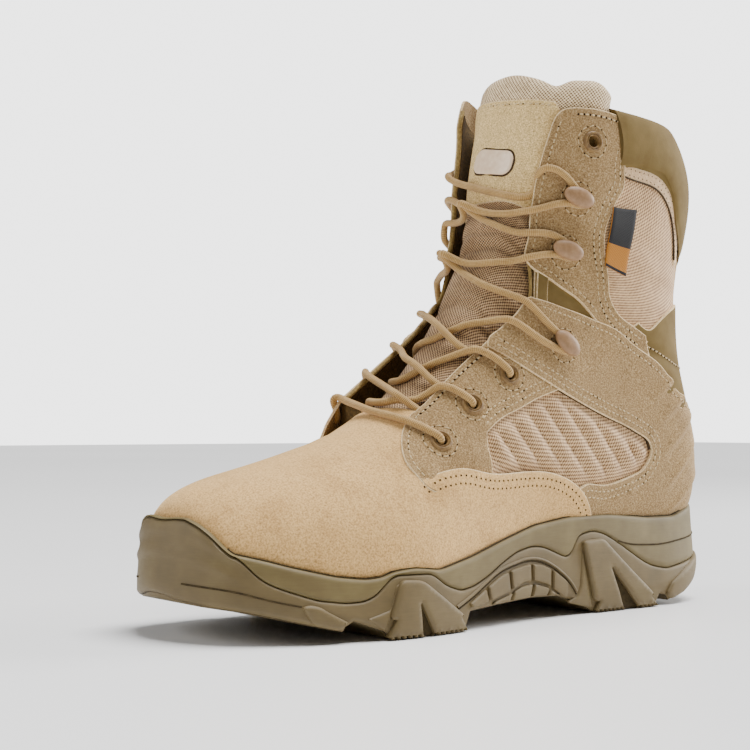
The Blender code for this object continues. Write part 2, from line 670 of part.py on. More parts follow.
def build_tongue():
    """Padded tongue under the flaps, rising above the collar."""
    stations = [6.3, 7, 7.8, 8.6, 9.4, 10.3, 11.2, 12.1, 13, 14, 15, 16, 17, 18, 19, 19.9, 20.5]
    points = []
    for station in stations:
        reach = np.interp(station, [6.3, 8, 12, 20.5], [.16, .24, .30, .30])
        fractions = np.linspace(0, reach, 6)
        lateral = skin(LATERAL, station, fractions, -TONGUE_SINK)[::-1]
        medial = skin(MEDIAL, station, fractions[1:], -TONGUE_SINK)
        points.append(np.concatenate([lateral, medial]))
    width = len(points[0])
    made = mesh_object("tongue", np.concatenate(points),
                       grid_faces(len(stations), width, flip=True), PARTS,
                       material("tongue_nylon", COLOURS["nylon"], .9), closed=False)
    add_solidify(made, TONGUE_THICK)
    return made


def build_collar():
    """Padded roll over the upper's rear edge, inside and outside of it."""
    start = .47
    around = [(LATERAL, f) for f in np.linspace(start, 1, 10)]
    around += [(MEDIAL, f) for f in np.linspace(1, start, 10)[1:]]
    top = FLAP_TOP
    # station, offset: down the outside, up the inside, over the rim
    outside, inside = GAP + FACET, -WALL - GAP - 1.5 * FACET
    profile = [(17.55, outside), (17.5, 1.6), (17.9, 2.4), (18.5, 2.6), (18.95, 1.6),
               (19.1, -.6), (19.0, -4.4), (18.6, -6.8), (18.0, -7.4), (17.4, -6.2),
               (17.1, -4.2), (17.1, inside), (17.3, inside), (17.9, inside),
               (18.35, inside), (top + .06, inside), (top + .06, outside), (18.35, outside),
               (17.9, outside)]
    points = []
    for side, fraction in around:
        for station, offset in profile:
            points.append(skin(side, station, [fraction], offset)[0])
    size = len(profile)
    rows = len(around)
    faces = []
    for i in range(rows - 1):
        for k in range(size):
            n = (k + 1) % size
            faces.append((i * size + k, i * size + n, (i + 1) * size + n, (i + 1) * size + k))
    faces.append(tuple(range(size)))
    faces.append(tuple(range((rows - 1) * size, rows * size)))
    return mesh_object("collar", points, faces, PARTS,
                       material("collar_olive", COLOURS["olive"], .8))


def draped(side, station, fraction, x, y, offset):
    """Skin point x mm around and y mm up from a place, moved outward by offset."""
    small = 0.05
    here, beside = skin_bare(side, station, [fraction, fraction + small])
    ahead = skin_bare(side, station + small, [fraction])[0]
    tangents = np.stack([beside - here, ahead - here], axis=1) / small
    normal = np.cross(tangents[:, 0], tangents[:, 1])
    normal /= np.linalg.norm(normal)
    up = np.array([0, 0, 1]) - normal * normal[2]
    up /= np.linalg.norm(up)
    across = np.cross(up, normal)
    across *= np.sign(across @ tangents[:, 0])
    move = np.linalg.lstsq(tangents, x * across + y * up, rcond=None)[0]
    around = fraction + move[0]
    if around < 0:
        side, around = -side, -around
    return skin(side, station + move[1], [around], offset)[0]


def rounded_outline(width, height, corner, steps):
    """Outline of a rectangle with round corners, as x, y pairs."""
    rim = []
    for quarter, (sx, sy) in enumerate([(1, 1), (-1, 1), (-1, -1), (1, -1)]):
        for step in range(steps + 1):
            turn = (quarter + step / steps) * np.pi / 2
            rim.append((sx * (width / 2 - corner) + corner * np.cos(turn),
                        sy * (height / 2 - corner) + corner * np.sin(turn)))
    return rim


def build_patch(name, place, outline, low, thick, finish):
    """Thin plate draped over the skin; each ring of its outline lies at one offset."""
    count = len(outline)
    points = []
    for level in (low, low + thick):
        points += [draped(*place, x, y, level) for x, y in outline]
        points += [draped(*place, x * .5, y * .5, level) for x, y in outline]
        points.append(draped(*place, 0, 0, level))
    faces = []
    layer = 2 * count + 1
    for start in (0, layer):
        for i in range(count):
            n = (i + 1) % count
            faces.append((start + i, start + n, start + count + n, start + count + i))
            faces.append((start + count + i, start + count + n, start + 2 * count))
    faces += [(i, (i + 1) % count, layer + (i + 1) % count, layer + i) for i in range(count)]
    return mesh_object(name, points, faces, PARTS, finish)


def build_badge():
    """Plain pill-shaped plate on the tongue, with nothing on it."""
    outline = rounded_outline(BADGE["width"], BADGE["height"], BADGE["corner"], 4)
    return build_patch("tongue_plate", (LATERAL, BADGE["station"], 0.0), outline,
                       GAP - TONGUE_SINK, BADGE["thick"],
                       material("tongue_plate_metal", COLOURS["metal"], .4, 1.0))


def build_side_tab():
    """Plain woven tab at the flap's rear seam."""
    outline = rounded_outline(TAB["width"], TAB["height"], .8, 2)
    turn = np.radians(TAB["lean"])
    outline = [(x * np.cos(turn) - y * np.sin(turn), x * np.sin(turn) + y * np.cos(turn))
               for x, y in outline]
    return build_patch("side_tab", (LATERAL, TAB["station"], TAB["fraction"]), outline,
                       GAP, TAB["thick"], material("side_tab_woven", COLOURS["woven"], .9))


# ---------------------------------------------------------------- laces
def lace_point(side, station, fraction, raise_by):
    """Point of a lace's centre line, raised off the skin."""
    return outer_face(side, station, [fraction], raise_by)[0]


def lace_stops():
    """Places just in front of each eyelet or hook that the laces run between."""
    stops = [(s, f - .055) for s, f in EYELET_PLACES[:3]]
    stops += [(s - .1, f - .055) for s, f in HOOK_PLACES]
    return stops


def lace_route(first_side):
    """One lace, crossing the tongue from stop to stop, as points of its centre."""
    stops = lace_stops()
    route = []
    side = first_side
    for (s0, f0), (s1, f1) in zip(stops[:-1], stops[1:]):
        e0, e1 = flap_edge(s0 + .1), flap_edge(s1 - .1)
        middle = (s0 + s1) / 2
        route += [lace_point(side, s0, f0, LACE_CLEAR + .3),
                  lace_point(side, s0 + .12, (f0 + e0) / 2, LACE_CLEAR + .2),
                  lace_point(side, s0 + .2, e0 - .01, LACE_CLEAR + .1),
                  lace_point(side, s0 * .7 + s1 * .3, e0 * .5, 2.0),
                  lace_point(side, middle, 0.0, 1.2),
                  lace_point(-side, s0 * .3 + s1 * .7, e1 * .5, 2.0),
                  lace_point(-side, s1 - .2, e1 - .01, LACE_CLEAR + .1),
                  lace_point(-side, s1 - .12, (f1 + e1) / 2, LACE_CLEAR + .2)]
        side = -side
    route.append(lace_point(side, *stops[-1], LACE_CLEAR + .3))
    return np.array(route)


def lace_tube(name, points):
    """Tube along a smooth curve through the points, as a mesh with welded caps."""
    knots = np.arange(len(points))
    path = natural_spline(knots, points, np.linspace(0, knots[-1], 3 * len(points) // 2))
    curve = bpy.data.curves.new(name, "CURVE")
    curve.dimensions = "3D"
    curve.bevel_depth = LACE_RADIUS * MM
    curve.bevel_resolution = 1
    curve.use_fill_caps = True
    spline = curve.splines.new("POLY")
    spline.points.add(len(path) - 1)
    for point, place in zip(spline.points, path):
        point.co = (*metres(place), 1)
    tube = bpy.data.objects.new(name, curve)
    bpy.context.scene.collection.objects.link(tube)
    bpy.context.view_layer.update()
    evaluated = tube.evaluated_get(bpy.context.evaluated_depsgraph_get())
    work = bmesh.new()
    work.from_mesh(bpy.data.meshes.new_from_object(evaluated))
    bmesh.ops.remove_doubles(work, verts=work.verts, dist=1e-6)
    bmesh.ops.recalc_face_normals(work, faces=work.faces)
    bpy.data.objects.remove(tube)
    return bpy.data.objects.new(name, mesh_from(work, name))


def build_laces():
    """Both laces joined where they cross, with the bar between the lowest eyelets."""
    made = lace_tube("laces", lace_route(LATERAL))
    made.data.materials.append(material("lace_cord", COLOURS["lace"], .85))
    PARTS.objects.link(made)
    other = lace_tube("other_lace", lace_route(MEDIAL))
    station, fraction = lace_stops()[0]
    edge = flap_edge(station)
    bar = [lace_point(LATERAL, station, fraction, LACE_CLEAR + .3),
           lace_point(LATERAL, station, edge, LACE_CLEAR + .3),
           lace_point(LATERAL, station, 0.0, LACE_CLEAR),
           lace_point(MEDIAL, station, edge, LACE_CLEAR + .3),
           lace_point(MEDIAL, station, fraction, LACE_CLEAR + .3)]
    for tool in (other, lace_tube("bar", np.array(bar))):
        add_boolean(made, as_cutter(tool), "UNION", tool.name)
    return made


# ---------------------------------------------------------------- assembly
def build_boot():
    shape = SoleShape(33)
    build_outsole(shape)
    build_midsole(shape)
    build_insole()
    build_upper()
    build_tongue()
    build_collar()
    build_badge()
    build_side_tab()
    build_laces()
    painted = material("eyelet_painted_brass", COLOURS["metal"], .45, .6)
    for side, side_name in ((LATERAL, "lateral"), (MEDIAL, "medial")):
        for number, (station, fraction) in enumerate(EYELET_PLACES, 1):
            build_eyelet(f"eyelet_{side_name}_{number}", side, station, fraction, painted)
        for number, (station, fraction) in enumerate(HOOK_PLACES, 1):
            build_hook(f"hook_{side_name}_{number}", side, station, fraction, painted)


for old in list(bpy.data.objects):
    bpy.data.objects.remove(old)
PARTS = new_collection("desert_boot")
CUTTERS = new_collection("cutters")
build_boot()
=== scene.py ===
"""Looks of a left lace-up desert boot: suede, nylon, rubber, laces and stitching.

Sizes are in millimetres in the last's own frame: toe at -Y, heel at +Y, the
outer (lateral) side at +X, ground at Z = 0.  A place on the upper is given by
its station (row of SECTIONS, counted from the toe, up the shaft) and by its
fraction around, from 0 on the front centre line to 1 on the back or base
centre line, negative on the inner (medial) side.
"""

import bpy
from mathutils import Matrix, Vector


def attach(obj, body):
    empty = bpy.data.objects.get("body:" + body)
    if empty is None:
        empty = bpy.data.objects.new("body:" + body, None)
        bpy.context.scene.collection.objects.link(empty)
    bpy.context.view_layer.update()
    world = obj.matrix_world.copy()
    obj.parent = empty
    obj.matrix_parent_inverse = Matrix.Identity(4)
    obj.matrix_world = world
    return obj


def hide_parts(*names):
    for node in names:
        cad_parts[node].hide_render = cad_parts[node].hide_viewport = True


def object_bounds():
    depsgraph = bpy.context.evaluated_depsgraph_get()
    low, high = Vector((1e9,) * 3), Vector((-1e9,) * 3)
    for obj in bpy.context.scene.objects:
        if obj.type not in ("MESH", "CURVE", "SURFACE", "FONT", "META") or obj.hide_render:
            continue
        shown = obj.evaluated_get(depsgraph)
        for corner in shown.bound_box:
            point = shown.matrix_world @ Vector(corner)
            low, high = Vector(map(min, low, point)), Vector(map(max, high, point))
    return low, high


bl_info = {
    "name": "Desert boot looks",
    "version": (1, 0, 0),
    "blender": (4, 5, 0),
    "location": "View3D > Sidebar > Boot",
    "description": "Suede panels, nylon, laces, stitching and rubber sole around the packed boot",
    "category": "Object",
}

import bpy
import bmesh
import numpy as np
from mathutils import Vector, geometry
from mathutils.bvhtree import BVHTree
from mathutils.kdtree import KDTree

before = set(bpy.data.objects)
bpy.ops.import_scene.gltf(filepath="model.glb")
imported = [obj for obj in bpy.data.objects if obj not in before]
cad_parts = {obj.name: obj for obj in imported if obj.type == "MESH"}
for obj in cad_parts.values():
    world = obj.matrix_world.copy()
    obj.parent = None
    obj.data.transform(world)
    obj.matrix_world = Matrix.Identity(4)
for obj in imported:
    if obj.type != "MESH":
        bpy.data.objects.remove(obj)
CAD_BOX = [list(corner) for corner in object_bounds()]

MM = 0.001
ORIGIN = np.array([1.8, 5.0, 0.0])     # the row's origin in the last's frame
LATERAL, MEDIAL = 1, -1
SIDES = ((LATERAL, "lateral"), (MEDIAL, "medial"))

# ---------------------------------------------------------------- the last
# name, top point y z, base point y z, centre x, lateral and medial half widths,
# height fraction of the widest line from the top, roundness of top and of base
SECTIONS = [
    ("toe_tip",       -137.6,  44.0, -137.6,  37.0, -10.0,  1.0,  1.0, .55, 2.0, 2.0),
    ("toe_front",     -136.2,  53.0, -137.2,  30.0, -10.0, 17.0, 17.0, .60, 2.0, 2.4),
    ("toe_round",     -130.2,  59.8, -134.0,  25.5,  -9.0, 29.0, 28.0, .64, 2.0, 2.6),
    ("toe_cap",       -117.5,  65.0, -124.0,  22.0,  -8.0, 38.5, 36.0, .66, 2.1, 2.8),
    ("toe_box",       -101.0,  69.5, -108.0,  19.0,  -6.0, 45.5, 42.0, .68, 2.1, 3.0),
    ("vamp",           -77.0,  76.5,  -85.0,  16.0,  -3.0, 50.0, 46.0, .70, 2.1, 3.2),
    ("ball",           -53.0,  86.0,  -57.0,  15.0,  -0.5, 51.5, 47.5, .72, 2.0, 3.4),
    ("throat",         -33.0,  98.5,  -35.0,  16.0,   0.0, 49.0, 45.0, .73, 2.0, 3.4),
    ("instep",         -16.0, 115.0,  -10.0,  19.0,   0.0, 44.5, 42.0, .73, 2.2, 3.2),
    ("upper_instep",    -2.0, 132.0,   20.0,  24.0,   0.0, 40.5, 39.5, .71, 2.4, 3.0),
    ("waist",            8.0, 148.0,   52.0,  27.0,   0.0, 38.5, 38.0, .68, 2.6, 2.8),
    ("heel_front",      16.0, 162.0,   86.0,  29.0,   0.0, 37.5, 37.5, .65, 2.8, 2.8),
    ("heel_seat",       21.0, 173.5,  120.0,  29.0,   0.0, 37.0, 37.0, .60, 2.9, 2.7),
    ("heel_corner",     24.0, 184.0,  149.0,  37.0,   0.0, 37.0, 37.0, .56, 3.0, 2.6),
    ("heel_back",       26.5, 194.0,  157.0,  68.0,   0.0, 38.0, 37.5, .54, 3.0, 2.4),
    ("counter_top",     28.5, 203.0,  147.0, 104.0,   0.0, 39.0, 38.5, .53, 3.0, 2.3),
    ("achilles",        30.5, 212.0,  142.6, 136.0,   0.0, 40.0, 39.5, .53, 3.0, 2.3),
    ("shaft",           33.0, 222.0,  145.0, 168.0,   0.0, 40.5, 40.5, .53, 3.0, 2.3),
    ("upper_shaft",     35.5, 232.0,  149.2, 206.0,   0.0, 41.5, 41.0, .53, 3.0, 2.3),
    ("collar",          38.0, 242.0,  137.4, 235.4,   0.0, 40.5, 40.0, .53, 3.0, 2.3),
    ("tongue_top",      41.0, 254.0,  137.6, 249.0,   0.0, 39.5, 39.0, .53, 3.0, 2.3),
    ("above",           44.0, 266.0,  136.6, 262.0,   0.0, 38.5, 38.0, .53, 3.0, 2.3),
]
# flap's front edge: station, fraction
FLAP_EDGE = [(7.0, .157), (8.2, .164), (9.3, .188), (10.5, .206), (11.4, .200),
             (12.1, .160), (12.6, .133), (13.9, .129), (15.4, .155), (16.6, .174),
             (17.6, .188), (18.2, .200), (18.5, .225), (18.75, .28)]
FLAP_TOP = 18.75
MEDIAL_RISE = 1.1          # the medial flap ends this many stations higher in front
# and its edge stands off the tongue by this at each station
MEDIAL_FLARE = [(6.1, 0), (6.5, 6.5), (7.0, 10.2), (7.5, 9.7), (8.0, 8.5), (8.5, 7.5), (9, 6.5),
                (10, 5), (11, 6), (12, 4.7), (14, 4.6), (16.5, 4.8), (17.5, 5.5), (18.5, 6.8)]

# sole: plan outline as y, lateral x, medial x; then heights along it as y, z
OUTLINE = [
    (-145.6, -10.0, -10.0), (-143.8, 3.0, -22.0), (-138.0, 18.5, -36.5),
    (-128.0, 32.5, -46.5), (-110.0, 44.0, -49.5), (-88.0, 50.5, -50.5),
    (-62.0, 54.0, -50.0), (-36.0, 52.0, -47.0), (-10.0, 47.5, -42.5),
    (18.0, 42.5, -39.5), (46.0, 40.0, -38.5), (76.0, 39.0, -38.5),
    (106.0, 38.5, -38.0), (130.0, 35.0, -34.5), (147.0, 25.0, -25.0),
    (155.5, 12.0, -12.0), (157.5, 0.0, 0.0)]
BORDER = [(-147, 48.5), (-144.5, 49.8), (-142.5, 49.8), (-139.5, 47), (-136.8, 43.4),
          (-134.3, 39.4), (-131.3, 35.7),
          (-121.6, 33.2), (-111.6, 30.3), (-100, 27.6), (-92, 25.8), (-79.6, 24.3),
          (-71.6, 24.9), (-67.5, 26.9), (-61, 27.6), (-54.7, 28), (-40.4, 26.3), (-19, 30.6),
          (1, 36), (23.5, 41.8), (47.7, 44.8), (75.7, 45), (104.8, 42.4), (128, 42.2), (140, 45),
          (158, 49)]
GROOVE = BORDER[:6] + [
    (-131.3, 35.5), (-127.1, 31.5), (-124.9, 28.5), (-122.4, 26), (-119.2, 23.8),
    (-113.9, 21.5), (-109.1, 19.8), (-101.5, 17.2), (-89.2, 15.5), (-80.6, 15.8),
    (-74.9, 18.2), (-70.9, 22.2), (-67, 25.6), (-47, 25.3), (-45.1, 24.4), (-38.6, 19.8),
    (-28.9, 16.8), (-20.1, 18.2), (-10.8, 21.5), (0, 26.8), (9.6, 30.8), (20.5, 32.8),
    (28.3, 32), (36, 29.2), (42.5, 26.7), (46.4, 26.6), (48.6, 29), (49.8, 33), (51.2, 35.5),
    (56.7, 36.8), (63.5, 37.8), (71.7, 35.8), (81, 31.2), (90, 26), (97.7, 21.5), (104.2, 19),
    (114.2, 17.2), (125.6, 18.5), (140, 20.5), (158, 24)]
CORE = [(-148, 25), (-127, 19.5), (-93, 11.5), (-70, 8), (-28, 8.5), (0, 13), (38, 13),
        (60, 9.5), (104, 9.5), (130, 14.5), (158, 27)]
GROUND = [(-148, 20.5), (-143, 16.4), (-136.7, 14.4), (-126, 12.6), (-93.5, 4.7), (-76, 1.0),
          (-69, 0), (104, 0), (116, 1.7), (135, 9), (149, 19.5), (158, 24)]
CUTS = [   # cuts across the whole sole, as y, z
    [(-27.5, 0), (-24, 7.4), (-4, 8.6), (20, 9.6), (38, 8.9), (45.5, 6.7), (56, 2.7), (61, 0)],
    [(-92, 0), (-90, 5.9), (-86, 8.0), (-72, 3.0), (-69.5, 0)],
    [(104, 0), (107.5, 5.2), (113, 4.2), (116, 0)]]
EYELET_PLACES = [(7.2, .296), (8.27, .284), (9.53, .306), (17.73, .318)]
HOOK_PLACES = [(11.5, .343), (13.82, .236), (15.82, .285)]
HOOK_LEAN = [38, 16, 18]       # degrees that each hook's cap points down at the rear


def metres(points):
    """Points of the last's frame, in mm, in the row's frame."""
    return (np.asarray(points, float) - ORIGIN) * MM


def natural_spline(knots, values, at):
    """Natural cubic spline through values (rows) at the knots, read at `at`."""
    knots = np.asarray(knots, float)
    values = np.asarray(values, float)
    at = np.atleast_1d(np.asarray(at, float))
    count = len(knots)
    step = np.diff(knots)
    matrix = np.eye(count)
    right = np.zeros_like(values)
    for i in range(1, count - 1):
        matrix[i, i - 1:i + 2] = step[i - 1], 2 * (step[i - 1] + step[i]), step[i]
        rise = (values[i + 1] - values[i]) / step[i]
        right[i] = 6 * (rise - (values[i] - values[i - 1]) / step[i - 1])
    bend = np.linalg.solve(matrix, right)
    i = np.clip(np.searchsorted(knots, at, side="right") - 1, 0, count - 2)
    h = step[i][:, None]
    a = (knots[i + 1] - at)[:, None]
    b = (at - knots[i])[:, None]
    return (bend[i] * a ** 3 / (6 * h) + bend[i + 1] * b ** 3 / (6 * h)
            + (values[i] / h - bend[i] * h / 6) * a
            + (values[i + 1] / h - bend[i + 1] * h / 6) * b)


def along(table, at):
    """Value of a two-column table by straight lines between its rows."""
    rows = np.array(table, float)
    return np.interp(at, rows[:, 0], rows[:, 1])


def soft(x, low, high):
    """Smooth step from 0 at low to 1 at high."""
    t = np.clip((np.asarray(x, float) - low) / (high - low), 0, 1)
    return t * t * (3 - 2 * t)


def unit(vectors):
    """Vectors brought to length 1."""
    return vectors / np.linalg.norm(vectors, axis=-1, keepdims=True).clip(1e-12)


def run_of(points):
    """Length along a line up to each of its points."""
    return np.concatenate([[0], np.cumsum(np.linalg.norm(np.diff(points, axis=0), axis=1))])


def read_along(at, run, rows):
    """Rows of a table read at places along its run."""
    return np.stack([np.interp(at, run, rows[:, k]) for k in range(rows.shape[1])], axis=1)


class Last:
    """Dense table of the last's surface, read at station and fraction around."""
    ROWS, COLUMNS = 20, 300       # rows per station, columns per side

    def __init__(self):
        values = np.array([row[1:] for row in SECTIONS])
        count = (len(SECTIONS) - 1) * self.ROWS + 1
        self.stations = np.linspace(0, len(SECTIONS) - 1, count)
        rows = natural_spline(range(len(SECTIONS)), values, self.stations)
        angle = np.linspace(0, np.pi, 241)
        cosine, sine = np.abs(np.cos(angle)), np.sin(angle).clip(0)
        upper = angle <= np.pi / 2
        fractions = np.linspace(0, 1, self.COLUMNS + 1)
        self.points = np.zeros((count, 2 * self.COLUMNS + 1, 3))
        self.girth = np.zeros(count)
        for i, (ty, tz, by, bz, cx, lat, med, widest, n_top, n_base) in enumerate(rows):
            for side, half in ((LATERAL, lat), (MEDIAL, med)):
                down = np.where(upper, widest * (1 - cosine ** (2 / n_top)),
                                widest + (1 - widest) * cosine ** (2 / n_base))
                out = np.where(upper, sine ** (2 / n_top), sine ** (2 / n_base)) * half
                path = np.stack([cx + side * out, ty + (by - ty) * down,
                                 tz + (bz - tz) * down], axis=1)
                arc = run_of(path)
                self.girth[i] += arc[-1] / 2
                column = self.COLUMNS + side * np.arange(self.COLUMNS + 1)
                self.points[i, column] = read_along(fractions, arc / arc[-1], path)
        wrapped = np.concatenate([self.points[:, -2:-1], self.points, self.points[:, 1:2]], axis=1)
        normals = np.cross(wrapped[:, 2:] - wrapped[:, :-2], np.gradient(self.points, axis=0))
        self.normals = unit(normals)
        self.reach = run_of(self.points[:, self.COLUMNS + int(.4 * self.COLUMNS)])

    def read(self, table, station, around):
        """Table's values between its rows and columns."""
        around = (around + 1) % 2 - 1
        row = np.clip(station * self.ROWS, 0, len(self.stations) - 1.001)
        column = np.clip((around + 1) * self.COLUMNS, 0, 2 * self.COLUMNS - .001)
        i, j = row.astype(int), column.astype(int)
        a, b = (row - i)[:, None], (column - j)[:, None]
        return ((table[i, j] * (1 - b) + table[i, j + 1] * b) * (1 - a)
                + (table[i + 1, j] * (1 - b) + table[i + 1, j + 1] * b) * a)

    def at(self, station, around, offset=0.0):
        """Points at a station and a fraction around, so many mm out from the surface."""
        station = np.atleast_1d(np.asarray(station, float))
        around = np.atleast_1d(np.asarray(around, float))
        normal = unit(self.read(self.normals, station, around))
        return self.read(self.points, station, around) + normal * np.reshape(offset, (-1, 1))

    def flat(self, station, around):
        """Places laid out flat: along the boot and around it, nearly in mm."""
        station, around = np.asarray(station, float), np.asarray(around, float)
        station, around = np.broadcast_arrays(station, around)
        return np.stack([np.interp(station, self.stations, self.reach),
                         around * np.interp(station, self.stations, self.girth)], axis=-1)

    def unflat(self, flat):
        """Station and fraction around of flat places."""
        station = np.interp(flat[:, 0], self.reach, self.stations)
        return station, flat[:, 1] / np.interp(station, self.stations, self.girth)

    def from_side(self, y, z):
        """Station and fraction of lateral places seen from the side at y, z."""
        if not hasattr(self, "guess"):
            s, w = np.meshgrid(np.arange(.3, 20.9, .1), np.arange(.01, .99, .02), indexing="ij")
            self.guess = np.stack([s.ravel(), w.ravel()], axis=1)
            self.guess_yz = self.at(*self.guess.T)[:, 1:]
        target = np.array([y, z], float)
        place = self.guess[((self.guess_yz - target) ** 2).sum(axis=1).argmin()].copy()
        for _ in range(6):
            here = self.at(*place[:, None])[0, 1:]
            a = (self.at(place[0] + .05, place[1])[0, 1:] - here) / .05
            b = (self.at(place[0], place[1] + .01)[0, 1:] - here) / .01
            step = np.linalg.lstsq(np.stack([a, b], axis=1), target - here, rcond=.02)[0]
            place += np.clip(step, [-.3, -.06], [.3, .06])
            place[1] = min(max(place[1], 0), 1)
        return place

    def back(self, z):
        """Station on the back centre line at height z."""
        rows = self.stations > 13
        heights = self.points[rows, 2 * self.COLUMNS, 2]
        return float(np.interp(z, heights, self.stations[rows]))


LAST = Last()


def on_upper(flat, offset=0.0):
    """Upper's outer face over flat places: the last with the medial flap's flare and rise."""
    station, around = LAST.unflat(flat)
    around = (around + 1) % 2 - 1
    size = np.abs(around)
    medial = around < 0
    lift = ((station - 16.6) / (FLAP_TOP - 16.6)).clip(0, 1.2)
    station = station + medial * lift * MEDIAL_RISE * ((.40 - size) / .18).clip(0, 1)
    near = soft(along(FLAP_EDGE, station) + .16 - size, 0, .16)
    opened = medial * near * along(MEDIAL_FLARE, station)
    return LAST.at(station, around, opened + offset)


def on_last(flat, offset=0.0):
    """Last's surface over flat places."""
    return LAST.at(*LAST.unflat(flat), offset)


# ---------------------------------------------------------------- meshes
def add_piece(name, points, faces, materials, marks=None, cloth=None, slot=None,
              replaces=(), sharp=50.0):
    """Object from points in mm; marks are the faces' material numbers, cloth the
    points' flat places in mm that weaves and braids are drawn from."""
    mesh = bpy.data.meshes.new(name)
    if isinstance(faces, np.ndarray):
        faces = faces.tolist()
    mesh.from_pydata(metres(points).tolist(), [], faces)
    for made in materials:
        mesh.materials.append(made)
    if marks is not None:
        mesh.polygons.foreach_set("material_index", np.asarray(marks, np.int32))
    if cloth is not None:
        lie = np.zeros((len(points), 3), np.float32)
        lie[:, :np.shape(cloth)[1]] = cloth
        mesh.attributes.new("cloth", "FLOAT_VECTOR", "POINT").data.foreach_set(
            "vector", lie.ravel())
    mesh.validate()
    mesh.shade_smooth()
    mesh.set_sharp_from_angle(angle=np.radians(sharp))
    made = bpy.data.objects.new(name, mesh)
    bpy.context.scene.collection.objects.link(made)
    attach(made, "root")
    if replaces:
        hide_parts(*replaces)
    return made


class Pile:
    """Several small meshes gathered into one piece."""

    def __init__(self):
        self.points, self.faces, self.marks, self.cloth, self.count = [], [], [], [], 0

    def add(self, points, faces, mark=0, cloth=None):
        """Takes in another mesh; mark is its material number or one for each face."""
        points = np.asarray(points, float).reshape(-1, 3)
        self.points.append(points)
        self.faces += [[i + self.count for i in face] for face in faces]
        self.marks += list(mark) if np.ndim(mark) else [mark] * len(faces)
        self.cloth.append(np.zeros((len(points), 2)) if cloth is None else np.asarray(cloth))
        self.count += len(points)
        return self

    def make(self, name, materials, **more):
        """The piece, as add_piece makes it."""
        return add_piece(name, np.concatenate(self.points), self.faces, materials, self.marks,
                         np.concatenate(self.cloth), **more)


def grid_faces(rows, columns, closed=False, flip=False, start=0, caps=False):
    """Quads of a grid of points listed row by row.

    closed joins its last column to the first, and caps close its first and last rows.
    """
    faces = []
    for i in range(rows - 1):
        for k in range(columns if closed else columns - 1):
            n = (k + 1) % columns
            faces.append([i * columns + k, i * columns + n, (i + 1) * columns + n,
                          (i + 1) * columns + k])
    if caps:
        faces += [list(range(columns))[::-1], list(range((rows - 1) * columns, rows * columns))]
    return [[start + q for q in (face[::-1] if flip else face)] for face in faces]


def sheet_faces(rows, columns, flip=False):
    """Faces of a sheet: a grid, the same grid under it and the wall round their rim."""
    n = rows * columns
    rim = (list(range(columns)) + [i * columns - 1 for i in range(2, rows + 1)]
           + list(range(n - 2, n - columns - 1, -1)) + [i * columns for i in range(rows - 2, 0, -1)])
    faces = grid_faces(rows, columns) + grid_faces(rows, columns, flip=True, start=n)
    faces += [[b, a, a + n, b + n] for a, b in zip(rim, rim[1:] + rim[:1])]
    return [face[::-1] for face in faces] if flip else faces


# ---------------------------------------------------------------- flat outlines
def densify(points, step=1.2):
    """Soft curve through flat points, sampled about every step mm, ends kept."""
    points = np.asarray(points, float)
    gaps = np.linalg.norm(np.diff(points, axis=0), axis=1).clip(1e-6)
    knots = np.concatenate([[0], np.cumsum(gaps)])
    at = np.linspace(0, knots[-1], max(2, int(np.ceil(knots[-1] / step)) + 1))
    if len(points) == 2:
        return points[0] + (points[1] - points[0]) * (at / knots[-1])[:, None]
    return natural_spline(knots, points, at)


def tangents(surface, flat):
    """Surface's steps for one flat mm along and around."""
    d = .3
    a = (surface(flat + [d, 0]) - surface(flat - [d, 0])) / (2 * d)
    b = (surface(flat + [0, d]) - surface(flat - [0, d])) / (2 * d)
    return a, b


def sideways(surface, flat, closed=False):
    """Flat steps, each 1 mm long on the surface, to the left of a flat line."""
    if closed:
        ahead = np.roll(flat, -1, axis=0) - np.roll(flat, 1, axis=0)
    else:
        ahead = np.gradient(flat, axis=0)
    a, b = tangents(surface, flat)
    line = a * ahead[:, :1] + b * ahead[:, 1:]
    side = unit(np.cross(np.cross(a, b), line))
    aa, ab, bb = (a * a).sum(axis=1), (a * b).sum(axis=1), (b * b).sum(axis=1)
    ra, rb = (a * side).sum(axis=1), (b * side).sum(axis=1)
    det = (aa * bb - ab * ab).clip(1e-6)
    return np.stack([(bb * ra - ab * rb) / det, (aa * rb - ab * ra) / det], axis=1)


def signed_area(loop):
    """Area of a flat loop, above 0 where it turns anticlockwise."""
    x, y = loop.T
    return .5 * (x * np.roll(y, -1) - y * np.roll(x, -1)).sum()


def inside(loop, points):
    """Even-odd test of flat points against a closed loop."""
    result = np.zeros(len(points), bool)
    x, y = points.T
    for (x0, y0), (x1, y1) in zip(loop, np.roll(loop, -1, axis=0)):
        if y0 == y1:
            continue
        crosses = (y0 > y) != (y1 > y)
        result ^= crosses & (x < (x1 - x0) * (y - y0) / (y1 - y0) + x0)
    return result


def between(loops, points):
    """Flat points inside the first loop and outside the others, its holes."""
    keep = inside(loops[0], points)
    for hole in loops[1:]:
        keep &= ~inside(hole, points)
    return keep


def ring_around(surface, centre, radius, count=24):
    """Flat loop of a circle of that radius on the surface."""
    centre = np.asarray(centre, float).reshape(1, 2)
    a, b = (v[0] for v in tangents(surface, centre))
    jacobian = np.stack([a, b], axis=1)
    across = unit(a)
    up = unit(np.cross(np.cross(a, b), a))
    turn = np.arange(count) / count * 2 * np.pi
    circle = radius * (np.cos(turn)[:, None] * across + np.sin(turn)[:, None] * up)
    return centre + circle @ np.linalg.pinv(jacobian).T


def distance_to(curve, points):
    """Distance in mm from points to a curve, both in space."""
    tree = KDTree(len(curve))
    for i, place in enumerate(curve):
        tree.insert(place, i)
    tree.balance()
    return np.array([tree.find(place)[2] for place in points])


